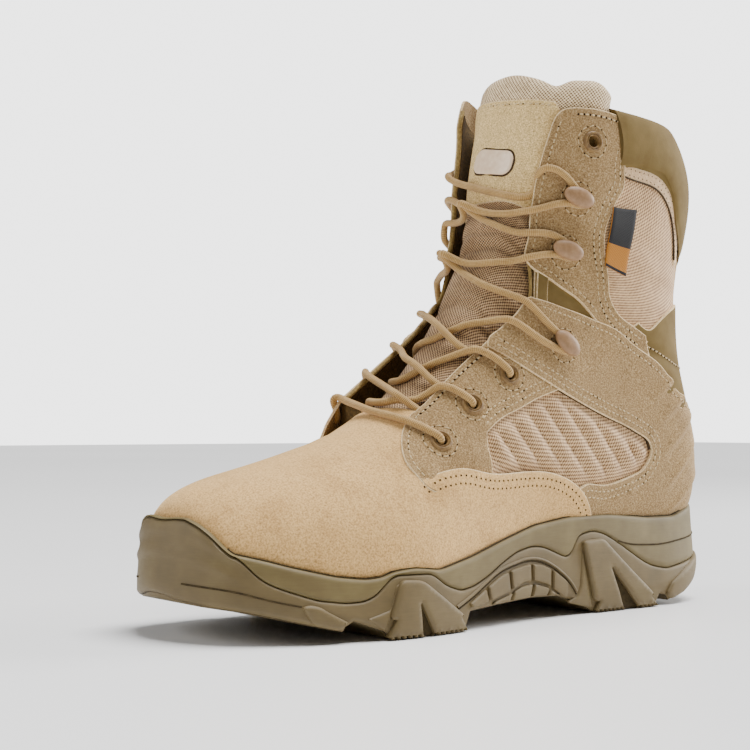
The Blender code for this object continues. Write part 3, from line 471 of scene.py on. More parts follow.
class Panel:
    """Cut piece of sheet lying on a surface.

    runs are the stretches of its outline between corners, each a name and its
    flat points, where a stretch ends at the next one's start.  top is the
    height of its face over the surface, thick its thickness, rim how far from
    its edge the face rounds off.
    """

    def __init__(self, surface, runs, top=0.0, thick=1.3, rim=.45, step=1.7, relief=None,
                 holes=(), seams=(), drop=.3):
        self.surface, self.top, self.thick, self.rim = surface, top, thick, rim
        self.step, self.relief, self.holes, self.drop = step, relief, holes, drop
        self.runs = {}
        names = [name for name, _ in runs]
        firsts = [np.asarray(points, float)[0] for _, points in runs]
        for i, (name, points) in enumerate(runs):
            path = np.concatenate([np.asarray(points, float), [firsts[(i + 1) % len(runs)]]])
            self.runs[name] = densify(path)
        self.loop = np.concatenate([self.runs[name][:-1] for name in names])
        self.turn = np.sign(signed_area(self.loop))
        self.seams = [(self.surface(densify(self.runs[name], .5)), gaps) for name, gaps in seams]

    def height(self, flat, points=None):
        """Height of the panel's face over the surface."""
        flat = np.asarray(flat, float).reshape(-1, 2)
        made = np.full(len(flat), float(self.top)) if np.isscalar(self.top) else self.top(flat)
        if self.relief is not None:
            made = made + self.relief(flat)
        if points is None:
            points = self.surface(flat)
        for curve, gaps in self.seams:
            away = distance_to(curve, points)
            for gap in gaps:
                made = made - .28 * np.exp(-((away - gap) / .55) ** 2)
        return made

    def row(self, name, gap, start=0.0, end=0.0):
        """Flat line inside the outline, gap mm from one of its runs."""
        path = self.runs[name]
        steps = sideways(self.surface, path) * self.turn
        line = path + steps * gap
        return trim(self.surface, line, start, end)

    def mesh(self):
        """Points, faces, material numbers and flat places; 0 the face, 1 the cut edge."""
        surface = self.surface
        loops = [self.loop if self.turn > 0 else self.loop[::-1]]
        for hole in self.holes:
            loops.append(hole[::-1] if signed_area(hole) > 0 else hole)
        sign = facing_sign(surface, self.loop)
        rings = [.12, .5, 1.3]
        flat, depth, edges = [], [], []
        count = 0
        for loop in loops:
            n = len(loop)
            flat.append(loop)
            depth.append(np.zeros(n))
            edges += [(count + i, count + (i + 1) % n) for i in range(n)]
            count += n
        for loop in loops:
            steps = sideways(surface, loop, closed=True)
            for gap in rings:
                keep = loop + steps * gap
                if gap > 1:
                    keep = keep[::2]
                near = nearest_flat(loops, keep)
                keep = keep[near > .55 * gap]
                flat.append(keep)
                depth.append(np.full(len(keep), gap))
        step = self.step
        border = np.concatenate(loops)
        low, high = border.min(axis=0), border.max(axis=0)
        p = np.arange(low[0], high[0], step * .87)
        q = np.arange(low[1], high[1], step)
        grid = np.stack(np.meshgrid(p, q, indexing="ij"), axis=-1)
        grid[1::2, :, 1] += step / 2
        grid = grid.reshape(-1, 2)
        grid = grid[between(loops, grid)]
        near = nearest_flat(loops, grid)
        deep = near > rings[-1] + .35 * step
        flat.append(grid[deep])
        depth.append(near[deep])
        flat, depth = np.concatenate(flat), np.concatenate(depth)
        ok = between(loops, flat)
        ok[:count] = True
        flat, depth = flat[ok], depth[ok]
        shift = flat.mean(axis=0)
        out = geometry.delaunay_2d_cdt([Vector(v) for v in (flat - shift)], edges, [], 0, 1e-6)
        flat2 = np.array([tuple(v) for v in out[0]]) + shift
        depth2 = np.array([depth[o[0]] if o else 0.0 for o in out[3]])
        triangles = np.array([f for f in out[2] if len(f) == 3])
        triangles = triangles[between(loops, flat2[triangles].mean(axis=1))]
        used = np.unique(triangles)
        index = np.full(len(flat2), -1)
        index[used] = np.arange(len(used))
        triangles, flat2, depth2 = index[triangles], flat2[used], depth2[used]
        if sign < 0:
            triangles = triangles[:, ::-1]
        base = surface(flat2)
        high = self.height(flat2, base)
        rounding = self.drop * (1 - np.sqrt(1 - (1 - (depth2 / self.rim).clip(0, 1)) ** 2))
        top = surface(flat2, high - rounding)
        bottom = surface(flat2, high - self.thick)
        n = len(top)
        directed = np.concatenate([triangles[:, [0, 1]], triangles[:, [1, 2]],
                                   triangles[:, [2, 0]]])
        _, first, counts = np.unique(np.sort(directed, axis=1), axis=0, return_index=True,
                                     return_counts=True)
        rim = directed[first[counts == 1]]
        wall = np.column_stack([rim[:, 1], rim[:, 0], rim[:, 0] + n, rim[:, 1] + n])
        faces = triangles.tolist() + (triangles[:, ::-1] + n).tolist() + wall.tolist()
        edge_face = (depth2[triangles].max(axis=1) <= .5).astype(int)
        marks = np.concatenate([edge_face, np.zeros(len(triangles), int), np.ones(len(wall), int)])
        return (np.concatenate([top, bottom]), faces, marks, np.concatenate([flat2, flat2]))


_facing = {}


def facing_sign(surface, flat):
    """+1 where a surface's flat axes turn the right-handed way seen from outside, or -1."""
    if surface.__name__ not in _facing:
        a, b = tangents(surface, flat[:1])
        out = surface(flat[:1], 1.0) - surface(flat[:1], 0.0)
        _facing[surface.__name__] = 1 if (np.cross(a, b) * out).sum() > 0 else -1
    return _facing[surface.__name__]


def nearest_flat(loops, points):
    """Distance in the flat from points to the nearest edge of the loops."""
    best = np.full(len(points), 1e9)
    starts = np.concatenate(loops)
    ends = np.concatenate([np.roll(loop, -1, axis=0) for loop in loops])
    for a, b in zip(starts, ends):
        line = b - a
        t = (((points - a) @ line) / max(line @ line, 1e-9)).clip(0, 1)
        away = points - a - t[:, None] * line
        best = np.minimum(best, (away * away).sum(axis=1))
    return np.sqrt(best)


def trim(surface, line, start=0.0, end=0.0):
    """Flat line with so many mm taken off its ends."""
    run = run_of(surface(line))
    return read_along(np.linspace(start, run[-1] - end, max(2, int(run[-1] - end - start))), run, line)


# ---------------------------------------------------------------- materials
def linear(hex_colour):
    """sRGB hex to linear red, green, blue, alpha."""
    channels = [int(hex_colour[i:i + 2], 16) / 255 for i in (1, 3, 5)]
    return (*[c / 12.92 if c <= .04045 else ((c + .055) / 1.055) ** 2.4 for c in channels], 1.0)


def add(tree, kind, settings=None, out=0, stops=(), **inputs):
    """Shader node with its settings and links; gives the output asked for.

    Inputs are values or sockets, keyed by name, or by _number where names repeat;
    stops are a colour ramp's positions and colours.
    """
    made = tree.nodes.new("ShaderNode" + kind)
    for key, value in (settings or {}).items():
        setattr(made, key, value)
    for key, value in inputs.items():
        socket = made.inputs[int(key[1:])] if key[0] == "_" else made.inputs[key.replace("_", " ")]
        if isinstance(value, bpy.types.NodeSocket):
            tree.links.new(value, socket)
        else:
            socket.default_value = value
    for _ in stops[2:]:
        made.color_ramp.elements.new(.5)
    for number, (position, colour) in enumerate(stops):
        stop = made.color_ramp.elements[number]
        stop.position = position
        stop.color = linear(colour) if isinstance(colour, str) else colour
    return made.outputs[out]


def finish(name, roughness, specular=.5, sheen=0.0, coat=0.0):
    """Material with its own shader; returns it, its tree and the shader."""
    made = bpy.data.materials.new(name)
    made.use_nodes = True
    shader = made.node_tree.nodes["Principled BSDF"]
    for key, value in (("Roughness", roughness), ("Specular IOR Level", specular),
                       ("Sheen Weight", sheen), ("Coat Weight", coat)):
        shader.inputs[key].default_value = value
    return made, made.node_tree, shader


def dress(tree, shader, colour, height=None, depth=0.0):
    """Gives the shader its colour and a bump of that depth in mm from a 0 to 1 height."""
    tree.links.new(colour, shader.inputs["Base Color"])
    if depth:
        normal = add(tree, "Bump", Height=height, Distance=depth * MM, Strength=1.0)
        tree.links.new(normal, shader.inputs["Normal"])


def millimetres(tree):
    """Object coordinates in mm."""
    place = add(tree, "TexCoord", out="Object")
    return add(tree, "VectorMath", {"operation": "SCALE"}, _0=place, Scale=1 / MM)


def cloth_place(tree):
    """Flat coordinates in mm, along and around."""
    place = add(tree, "Attribute", {"attribute_name": "cloth"}, out="Vector")
    return [add(tree, "SeparateXYZ", out=axis, Vector=place) for axis in (0, 1)]


def clouded(tree, colour, share, grain, stops):
    """Colour toned down in soft clouds, each grain a size in mm, detail and roughness."""
    cloud = add(tree, "TexNoise", Vector=millimetres(tree), Scale=1 / grain[0], Detail=grain[1],
                Roughness=grain[2])
    shade = add(tree, "ValToRGB", Fac=cloud, stops=stops)
    return add(tree, "Mix", {"data_type": "RGBA", "blend_type": "MULTIPLY"}, out=2, _0=share,
               _6=colour, _7=shade)


def crossings(tree, u, v, turns):
    """Height, 0 to 1, of yarns that pass over and under each other."""
    both = 1.0
    for place in (u, v):
        angle = add(tree, "Math", {"operation": "MULTIPLY"}, _0=place, _1=turns)
        wave = add(tree, "Math", {"operation": "SINE"}, _0=angle)
        both = add(tree, "Math", {"operation": "MULTIPLY"}, _0=wave, _1=both)
    return add(tree, "Math", {"operation": "MULTIPLY_ADD"}, _0=both, _1=.5, _2=.5)


def uneven(tree, height, size, detail):
    """Height with spots of that size in mm made up to a quarter lighter or darker."""
    spots = add(tree, "TexNoise", Vector=millimetres(tree), Scale=1 / size, Detail=detail,
                Roughness=.6)
    change = add(tree, "Math", {"operation": "MULTIPLY_ADD"}, _0=spots, _1=.5, _2=-.25)
    return add(tree, "Math", {"operation": "ADD"}, _0=height, _1=change)


def suede(name, light, base, dark, fleck, flecks, nap):
    """Sueded cowhide, buffed: matt, with a short nap that catches light at grazing angles.

    fleck is the size in mm of the nap's tufts, drawn a little coarser than real.
    """
    made, tree, shader = finish(name, .93, specular=.25, sheen=.22)
    shader.inputs["Sheen Roughness"].default_value = .45
    shader.inputs["Sheen Tint"].default_value = linear("#F6E6C8")
    where = millimetres(tree)
    tufts = add(tree, "TexNoise", Vector=where, Scale=1 / fleck, Detail=3.0, Roughness=.65)
    colour = add(tree, "ValToRGB", Fac=tufts, stops=[(.38 - .25 * flecks, dark), (.5, base),
                                                     (.6 + .2 * flecks, light)])
    colour = clouded(tree, colour, .3, (16.0, 3.0, .6),
                     [(.34, "#C9BEAE"), (.5, "#FFFFFF"), (.66, "#FFFAF0")])
    fibres = add(tree, "TexNoise", Vector=where, Scale=1 / (fleck * .6), Detail=2.0, Roughness=.7)
    fibres = add(tree, "Math", {"operation": "MULTIPLY"}, _0=fibres, _1=.4)
    height = add(tree, "Math", {"operation": "MULTIPLY_ADD"}, _0=tufts, _1=.6, _2=fibres)
    dress(tree, shader, colour, height, nap)
    return made


def woven(name, light, base, dark, pitch, depth):
    """Woven nylon: round yarns over and under, painted light on their crowns and painted shade in the
    gaps.

    pitch is the spacing of neighbouring yarns in mm, drawn about twice as coarse as real.
    """
    made, tree, shader = finish(name, .75, specular=.35, sheen=.1)
    weave = crossings(tree, *cloth_place(tree), np.pi / pitch)
    # colour follows the yarns' height: painted light on the crowns, painted shade in the gaps
    colour = add(tree, "ValToRGB", Fac=uneven(tree, weave, 1.6, 2.0),
                 stops=[(.2, dark), (.5, base), (.85, light)])
    colour = clouded(tree, colour, .4, (14.0, 2.0, .5), [(.35, "#CFC4B6"), (.55, "#FFFFFF")])
    dress(tree, shader, colour, weave, depth)
    return made


def mottled(name, roughness, grain, stops, fine=None, depth=0.0, **more):
    """Plain finish whose colour wanders over grains, with a fine bump.

    grain and fine are each a size in mm, detail and roughness; depth is in mm.
    """
    made, tree, shader = finish(name, roughness, **more)
    where = millimetres(tree)
    noises = [add(tree, "TexNoise", Vector=where, Scale=1 / size, Detail=detail, Roughness=rough)
              for size, detail, rough in (grain, fine or grain)]
    dress(tree, shader, add(tree, "ValToRGB", Fac=noises[0], stops=stops), noises[1], depth)
    return made


def lace_braid():
    """Round braided polyester lace, golden tan; its strands drawn 0.8 mm apart."""
    made, tree, shader = finish("lace_braid", .7, specular=.35, sheen=.15)
    u, v = cloth_place(tree)
    slants = [add(tree, "Math", {"operation": way}, _0=u, _1=v) for way in ("ADD", "SUBTRACT")]
    braid = crossings(tree, *slants, 3.9)
    # colour follows the braid's height: painted shade between the strands, painted light on their
    # crowns
    colour = add(tree, "ValToRGB", Fac=uneven(tree, braid, 4.0, 3.0),
                 stops=[(.1, "#846332"), (.5, "#A27E47"), (.9, "#C3A268")])
    dress(tree, shader, colour, braid, .12)
    return made


def moulded_rubber(name, colours):
    """Khaki rubber, matt, with fine mould streaks running along the sole."""
    made, tree, shader = finish(name, .6, specular=.4)
    where = millimetres(tree)
    stretched = add(tree, "Mapping", Vector=where, Scale=(.12, .12, 1.6))
    streaks = add(tree, "TexNoise", Vector=stretched, Scale=1.0, Detail=4.0, Roughness=.6)
    levels = []
    for share, grain in ((.25, (18.0, 3.0, .6)), (.7, (.6, 2.0, .5))):
        noise = add(tree, "TexNoise", Vector=where, Scale=1 / grain[0], Detail=grain[1],
                    Roughness=grain[2])
        rest = add(tree, "Math", {"operation": "MULTIPLY"}, _0=noise, _1=1 - share)
        levels.append(add(tree, "Math", {"operation": "MULTIPLY_ADD"}, _0=streaks, _1=share,
                          _2=rest))
    colour = add(tree, "ValToRGB", Fac=levels[0], stops=list(zip((.35, .5, .68), colours)))
    dress(tree, shader, colour, levels[1], .06)
    return made


def damask(name, colours):
    """Woven label's satin yarns in one plain colour, drawn 0.9 mm a pair."""
    made, tree, shader = finish(name, .7, specular=.3, sheen=.1)
    weave = crossings(tree, *cloth_place(tree), 2 * np.pi / .9)
    # colour follows the yarns' height: painted shade between the yarns, painted light on their crowns
    colour = add(tree, "ValToRGB", Fac=weave, stops=list(zip((.1, .5, .9), colours)))
    dress(tree, shader, colour, weave, .12)
    return made


def make_materials():
    """Every finish by its short name."""
    plain, open_grain = (2.0, .5), (2.0, .6)
    return {
        # finely buffed suede of the vamp: pale, smooth, faint flecks
        "vamp": suede("suede_fine", "#E5BF80", "#CDA469", "#86653C", .8, .7, .16),
        # coarser split suede of the stays, straps and heel: speckled and open
        "suede": suede("suede_split", "#C0A57A", "#94774E", "#513D29", .72, .6, .30),
        # suede on the tongue, paler and woolly
        "tongue_suede": suede("suede_tongue", "#FFE3A7", "#D5B579", "#886C3C", .65, .45, .34),
        # cut edge of the hide, fibrous and pale
        "edge": suede("hide_edge", "#ECD8B1", "#D5BA8E", "#A98859", .7, .4, .2),
        # paler copy of the tongue's open nylon for its puffed top, tight: painted light where the
        # light falls on the top
        "lobe": woven("nylon_puffed_lit", "#FBE4BC", "#D2B68A", "#664E30", .95, .15),
        # coarse heavy nylon of the side window
        "window": woven("nylon_coarse", "#E6C293", "#B8946A", "#6E5236", .9, .14),
        # finer nylon of the shaft
        "shaft": woven("nylon_fine", "#EBC696", "#C0986A", "#684A2E", .88, .12),
        # open nylon of the tongue, with painted shade dark between its yarns; its top gets the paler
        # copy, painted light
        "tongue": woven("nylon_open", "#CBA97E", "#957249", "#2B1C12", .95, .2),
        # smooth olive synthetic leather, softly padded and dull
        "olive": mottled("olive_synthetic", .8, (9.0, 3.0, .6),
                         [(.3, "#66522C"), (.55, "#6E5B34"), (.75, "#756039")],
                         (.8, *plain), .05, specular=.15),
        # brushed tricot lining, dark olive brown, dull
        "lining": mottled("lining_tricot", .95, (1.2, *open_grain),
                          [(.3, "#3A2C14"), (.6, "#574322"), (.8, "#6C552D")],
                          (.7, *plain), .2, specular=.15, sheen=.03),
        # binding of the flaps' edges: folded yellow brown tape
        "binding": mottled("binding_tape", .8, (1.5, *open_grain),
                           [(.3, "#6A5426"), (.6, "#8C7440"), (.8, "#AA935C")],
                           (.6, *plain), .1, specular=.3, sheen=.1),
        # pale pink beige tape round the nylon
        "tape": mottled("seam_tape", .85, (.8, *open_grain),
                        [(.3, "#B28D64"), (.5, "#CCAA80"), (.75, "#E0C49D")],
                        (.6, *plain), .12, specular=.3, sheen=.15),
        # dark piping beside the tapes; the same dark is painted shade along the window's cut edge and
        # round the plate's foot
        "piping_and_shade": mottled("dark_piping_and_shade", .8, (1.0, *open_grain),
                          [(.3, "#281A0A"), (.7, "#473319")], specular=.3),
        # needle holes punched in the hide: painted shade, the dark inside each hole laid on flat discs
        "hole": mottled("needle_hole_shade", .95, (.5, 1.0, .5), [(.3, "#180D04"), (.7, "#342210")],
                        specular=.1),
        # bonded polyester thread, pale, slightly shiny
        "thread": mottled("thread_polyester", .55, (.5, 1.0, .5),
                          [(.3, "#A98F62"), (.7, "#CDB588")], specular=.4, sheen=.1),
        "lace": lace_braid(),
        "outsole": moulded_rubber("rubber_outsole", ("#5A4C2E", "#625232", "#6A5B39")),
        "midsole": moulded_rubber("rubber_midsole", ("#5E4F2C", "#665833", "#71623C")),
        # bottom of the sole's moulded grooves and slots: painted shade, a dark rubber colour for the
        # shadow in them
        "gap": mottled("rubber_groove_shade", .9, (2.0, *plain), [(.3, "#2E2411"), (.7, "#41351D")],
                       specular=.2),
        # rings of the eyelets: baked enamel rubbed to a darker olive brown
        "ring": mottled("brass_rubbed", .5, (2.0, *plain),
                        [(.3, "#664C2C"), (.6, "#7E6238"), (.8, "#94774C")], specular=.3),
        # hooks of painted brass: pinkish tan baked enamel, satin
        "hardware": mottled("brass_painted", .5, (2.5, 3.0, .6),
                            [(.3, "#826342"), (.55, "#8F6E4D"), (.75, "#9B7B57")],
                            (.7, *plain), .03, specular=.35),
        # cast zinc plate with pale pink beige enamel, satin
        "plate": mottled("zinc_enamelled", .35, (3.0, *plain),
                         [(.3, "#D9BC9C"), (.6, "#E2C8AA"), (.8, "#ECD6BC")],
                         (.8, *plain), .03, coat=.2),
        # moulded EVA foam footbed, dark, closed cells
        "foam": mottled("foam_eva", .9, (.8, *open_grain), [(.35, "#1A150C"), (.65, "#302818")],
                        (.9, *open_grain), .2, specular=.3),
        "tab_dark": damask("damask_black", ("#040304", "#0C0C0E", "#19181A")),
        "tab_ochre": damask("damask_ochre", ("#7A4406", "#AD6E14", "#C58528")),
    }


FINISH = {}


# ---------------------------------------------------------------- the sole's wall
RIM = 2.9                  # the midsole's rim stands this far out from the upper
BLUR = [.1, .2, .4, .2, .1]


def outline_points(per_side):
    """Plan points of the sole from the toe tip along the lateral side, and back."""
    rows = np.array(OUTLINE)
    lateral = rows[:, [1, 0]]
    medial = rows[-2:0:-1][:, [2, 0]]
    around = np.concatenate([lateral, medial])
    count = len(around)
    wrapped = np.concatenate([around[-4:], around, around[:5]])
    knots = np.arange(-4, count + 5)
    heel = len(lateral) - 1
    at = np.concatenate([np.linspace(0, heel, per_side + 1),
                         np.linspace(heel, count, per_side + 1)[1:-1]])
    points = natural_spline(knots, wrapped, at)
    tangent = natural_spline(knots, wrapped, at + 0.01) - points
    inward = unit(np.stack([tangent[:, 1], -tangent[:, 0]], axis=1))
    centre = np.stack([np.zeros(len(points)), points[:, 1] * 0.7], axis=1)
    flip = np.sign(((centre - points) * inward).sum(axis=1))
    return points, inward * flip[:, None]


def sole_bottom(y):
    """Height of the sole's underside, with the cuts across it."""
    height = along(GROUND, y)
    for cut in CUTS:
        rows = np.array(cut, float)
        within = (y > rows[0, 0]) & (y < rows[-1, 0])
        height = np.where(within, np.maximum(height, along(cut, y)), height)
    return height


def blurred(values, turns):
    """Values round a closed loop, each eased towards its neighbours."""
    for _ in range(turns):
        values = np.convolve(np.concatenate([values[-2:], values, values[:2]]), BLUR, mode="valid")
    return values


class Sole:
    """Leaning side wall of the sole: plan outline, run along it, heights and lean."""
    PER_SIDE, COARSE = 400, 33

    def __init__(self):
        self.plan, self.inward = outline_points(self.PER_SIDE)
        y = self.plan[:, 1]
        self.run = run_of(np.vstack([self.plan, self.plan[:1]]))
        self.border, self.groove = (blurred(along(table, y), 3) for table in (BORDER, GROOVE))
        self.core = along(CORE, y)
        self.bottom = sole_bottom(y)
        rows = LAST.points[:15 * LAST.ROWS + 1:5, ::10]
        count, width = rows.shape[:2]
        tree = BVHTree.FromPolygons([tuple(p) for p in rows.reshape(-1, 3)],
                                    grid_faces(count, width))
        coarse, inward = outline_points(self.COARSE)
        core, border = along(CORE, coarse[:, 1]), along(BORDER, coarse[:, 1])
        lean = np.zeros(len(coarse))
        for i, (x, yy) in enumerate(coarse):
            direction = Vector((*inward[i], 0))
            room = []
            for rise in (.4, .55, .7, .85, 1.0):
                height = core[i] + (border[i] - core[i]) * rise
                hit = tree.ray_cast(Vector((x, yy, height)) - direction * 20, direction)
                rim = RIM + .6 * soft(-yy, 118, 134)
                room.append((hit[3] - 20 - rim) / rise if hit[0] is not None else 20.0)
            lean[i] = min(max(0.0, min(room)), 12.0)
        lean = blurred(lean, 1)
        at = np.arange(len(self.plan)) / self.PER_SIDE * self.COARSE
        self.lean = np.interp(at, np.arange(len(lean) + 1), np.append(lean, lean[0]))
        wide = np.concatenate([self.lean[-12:], self.lean, self.lean[:12]])
        self.lean = np.convolve(wide, np.hanning(27)[1:-1] / np.hanning(27).sum(), mode="valid")

    def loop(self, heights, inset):
        """Loop of points round the wall at those heights, so far in from its face."""
        rise = ((heights - self.core) / (self.border - self.core).clip(1)).clip(0, 1.05)
        place = self.plan + self.inward * (self.lean * rise + inset)[:, None]
        return np.column_stack([place, heights])

    def on_wall(self, flat, offset=0.0):
        """Wall's face over flat places: run along the outline, height."""
        table = np.column_stack([self.plan, self.inward, self.core, self.border, self.lean])
        x, y, inward_x, inward_y, core, border, lean = read_along(
            np.mod(flat[:, 0], self.run[-1]), self.run, np.vstack([table, table[:1]])).T
        inward = unit(np.stack([inward_x, inward_y]).T)
        rise = ((flat[:, 1] - core) / (border - core).clip(1)).clip(0, 1.05)
        place = np.stack([x, y]).T + inward * (lean * rise - offset)[:, None]
        return np.column_stack([place, flat[:, 1]])

    def flat(self, points, side=LATERAL):
        """Flat places of side-view points y, z on the wall."""
        points = np.asarray(points, float)
        half = self.PER_SIDE + 1
        if side == LATERAL:
            run = np.interp(points[:, 0], self.plan[:half, 1], self.run[:half])
        else:
            ys = np.append(self.plan[half - 1:, 1], self.plan[0, 1])[::-1]
            run = np.interp(points[:, 0], ys, self.run[half - 1:][::-1])
        return np.stack([run, points[:, 1]], axis=1)


SOLE = Sole()


def on_wall(flat, offset=0.0):
    """Face of the sole's wall over its own flat places."""
    return SOLE.on_wall(flat, offset)


def wall_relief(y, z):
    """Moulded ridges of the toe's rand, in mm."""
    made = np.zeros(len(y))
    for height, width, ys, zs in ((.6, 1.5, (126, 138, 139.7, 147), (30, 40.5, 43.5, 45)),
                                  (.8, 1.8, (126, 138.4, 142, 147), (24, 32.5, 35.5, 37))):
        made += height * np.exp(-((z - np.interp(-y, ys, zs)) / width) ** 2)
    return made * soft(-y, 126, 136)


def wall_pile(levels):
    """Band of the wall, from rows of heights and insets; its plain rows carry the ridges."""
    y = SOLE.plan[:, 1]
    loops = []
    for heights, inset in levels:
        loops.append(SOLE.loop(heights, inset - (0 if inset else wall_relief(y, heights))))
    pile = Pile()
    cloth = [np.column_stack([SOLE.run[:-1], loop[:, 2]]) for loop in loops]
    pile.add(np.concatenate(loops), grid_faces(len(loops), len(y), closed=True), 0,
             np.concatenate(cloth))
    return pile, loops


def build_outsole_wall():
    """Outsole's wall up to the groove, with its channelled underside."""
    bottom, groove = SOLE.bottom, np.minimum(SOLE.groove, SOLE.border - 1.0)
    levels = [(bottom, 2.0), (bottom + .5, 1.0), (bottom + 1.4, .25)]
    for t in np.linspace(0, 1, 13):
        levels.append((bottom + 2.2 + (groove - 1.1 - bottom - 2.2) * t, 0.0))
    levels += [(groove - .6, .18), (groove - .2, .7), (groove, 1.8), (groove - .3, 3.2)]
    pile, loops = wall_pile(levels)
    # underside: strips from each lateral point to the medial point across from it
    half = len(loops[0]) // 2
    lateral = loops[0][:half + 1]
    medial = np.vstack([loops[0][:1], loops[0][:half - 1:-1]])
    across = 41
    t = np.linspace(0, 1, across)
    points = lateral[:, None] * (1 - t[None, :, None]) + medial[:, None] * t[None, :, None]
    px, py = points[..., 0], points[..., 1]
    edge = np.minimum(t, 1 - t)[None, :] * np.linalg.norm(lateral - medial, axis=1)[:, None]
    height = sole_bottom(py.ravel()).reshape(py.shape)
    channel = np.zeros(py.shape)
    for row in (-124.0, -108.0, -57.5, -42.0, 76.0, 90.0, 126.0):
        channel = np.maximum(channel, 1 - soft(np.abs(py - row), 1.6, 2.6))
    for low, high in ((-67.0, -29.5), (63.5, 103.0)):
        channel = np.maximum(channel, (1 - soft(np.abs(px), 1.6, 2.6)) * (py > low) * (py < high))
    height = height + 3.6 * channel * soft(edge, 5, 8)
    points[..., 2] = np.where((t[None, :] == 0) | (t[None, :] == 1), points[..., 2], height)
    pile.add(points.reshape(-1, 3), grid_faces(half + 1, across, flip=True), 0,
             points.reshape(-1, 3)[:, :2])
    return pile


def build_midsole_wall():
    """Midsole's wall from the groove to the upper, turned in under the upper."""
    border, groove = SOLE.border, np.minimum(SOLE.groove, SOLE.border - 1.0)
    band = border - groove
    levels = [(groove + .3 * np.minimum(band, 1), 3.0), (groove, 1.6),
              (groove + np.minimum(.25, band * .2), .75),
              (groove + np.minimum(.7, band * .4), .25)]
    low, high = groove + np.minimum(1.2, band * .5), border - np.minimum(1.6, band * .35)
    for t in np.linspace(0, 1, 12):
        levels.append((low + (high - low) * t, 0.0))
    levels += [(border - np.minimum(.7, band * .2), .25), (border - .15, .8), (border, 1.6),
               (border - .1, 2.6), (border - 1.5, 3.4), (border - 4.0, 3.6)]
    return wall_pile(levels)[0]


# ---------------------------------------------------------------- outlines
def places(points, side=LATERAL):
    """Flat places of (y, z) seen from the side, ("back", z) or ("at", station, fraction)."""
    made = []
    for item in points:
        if item[0] == "at":
            made.append(LAST.flat(item[1], item[2] * side))
        elif item[0] == "back":
            made.append(LAST.flat(LAST.back(item[1]), side))
        else:
            station, around = LAST.from_side(*item)
            made.append(LAST.flat(station, around * side))
    return np.array(made)


def runs_at(side=LATERAL, **runs):
    """A panel's runs: lists are places, arrays are flat points already."""
    return [(name, places(points, side) if isinstance(points, list) else points)
            for name, points in runs.items()]


def free_edge(start, end, side, behind=0.0):
    """The flap's front edge between two stations."""
    count = max(3, int(abs(end - start) / .3))
    stations = np.linspace(start, end, count)
    flat = LAST.flat(stations, curved_edge(stations) * side)
    return flat + [0, behind * side]


def curved_edge(stations):
    """FLAP_EDGE's fractions with its corners eased."""
    rows = np.array(FLAP_EDGE)
    fine = np.linspace(rows[0, 0], rows[-1, 0], 200)
    value = np.interp(fine, *rows.T)
    kernel = np.hanning(11) / np.hanning(11).sum()
    wide = np.concatenate([np.full(5, value[0]), value, np.full(5, value[-1])])
    return np.interp(stations, fine, np.convolve(wide, kernel, mode="valid"))


def hem(low, high, side, below=8.0):
    """Lower edge of the upper, tucked into the sole, between two stations."""
    made = []
    for station in np.arange(low, high + .01, .5):
        around = np.linspace(.3, 1, 141)
        points = LAST.at(np.full(141, station), around)
        gap = points[:, 2] - (along(BORDER, points[:, 1]) - below)
        first = np.argmax(gap < 0) if (gap < 0).any() else 140
        made.append(LAST.flat(station, around[first] * side))
    return np.array(made)


def band(surface, path, width):
    """Runs of a strip that wide along a flat path."""
    path = densify(path, 2.0)
    step = sideways(surface, path) * width / 2
    left, right = path + step, path - step
    return [("left", left[::2]), ("end", [left[-1], path[-1]]), ("right", right[::-2]),
            ("start", [right[0], path[0]])]


SEWN = {}                      # needlework gathered while the panels are made


def sewing(name):
    """Pile that the needlework of that kind is gathered in."""
    return SEWN.setdefault(name, Pile())


def chosen(name):
    """One of the sidebar's sizes, in mm."""
    return round(getattr(bpy.context.scene.boot, name) / MM, 4)


def capsules(pile, points, ahead, normal, length, radius):
    """Short round-ended stitches lying along a line, half sunk in."""
    turn = np.arange(6) / 6 * 2 * np.pi
    faces = grid_faces(4, 6, closed=True, caps=True)
    for place, a, n, b in zip(points, ahead, normal, unit(np.cross(normal, ahead))):
        rows = [place + a * along_it * length + radius * size * (b * np.cos(t) + n * np.sin(t))
                for along_it, size in ((-.5, .45), (-.38, 1.0), (.38, 1.0), (.5, .45))
                for t in turn]
        pile.add(rows, faces)


def discs(pile, points, ahead, normal, radius, height=.08):
    """Small flat dark discs: needle holes, the shade inside each painted on."""
    turn = np.arange(6) / 6 * 2 * np.pi
    faces = grid_faces(2, 6, closed=True, caps=True)
    for place, a, n, b in zip(points, ahead, normal, unit(np.cross(normal, ahead))):
        rows = [place + n * level + radius * (a * np.cos(t) + b * np.sin(t))
                for level in (-.3, height) for t in turn]
        pile.add(rows, faces)


def sew(panel, line, thread=True, radius=.4, hole=.62, pitch=None):
    """Row of stitches and needle holes on a panel's face along a flat line."""
    pitch = pitch or chosen("stitch_pitch")
    run = run_of(panel.surface(line))
    count = max(2, int(run[-1] / pitch))
    at = (np.arange(count) + .5) * run[-1] / count
    for kind, middle in (("thread", at), ("hole", at + pitch / 2)):
        if kind == "thread" and not thread:
            continue
        centres = read_along(middle, run, line)
        height = panel.height(centres)
        points = panel.surface(centres, height)
        normal = unit(panel.surface(centres, height + 1) - points)
        ahead = panel.surface(centres + np.gradient(centres, axis=0) * .05, height)
        ahead = unit(ahead - points)
        ahead = unit(ahead - normal * (ahead * normal).sum(axis=1, keepdims=True))
        if kind == "thread":
            capsules(sewing(kind), points + normal * .05, ahead, normal, pitch * .62, radius)
        else:
            discs(sewing(kind), points, ahead, normal, hole)


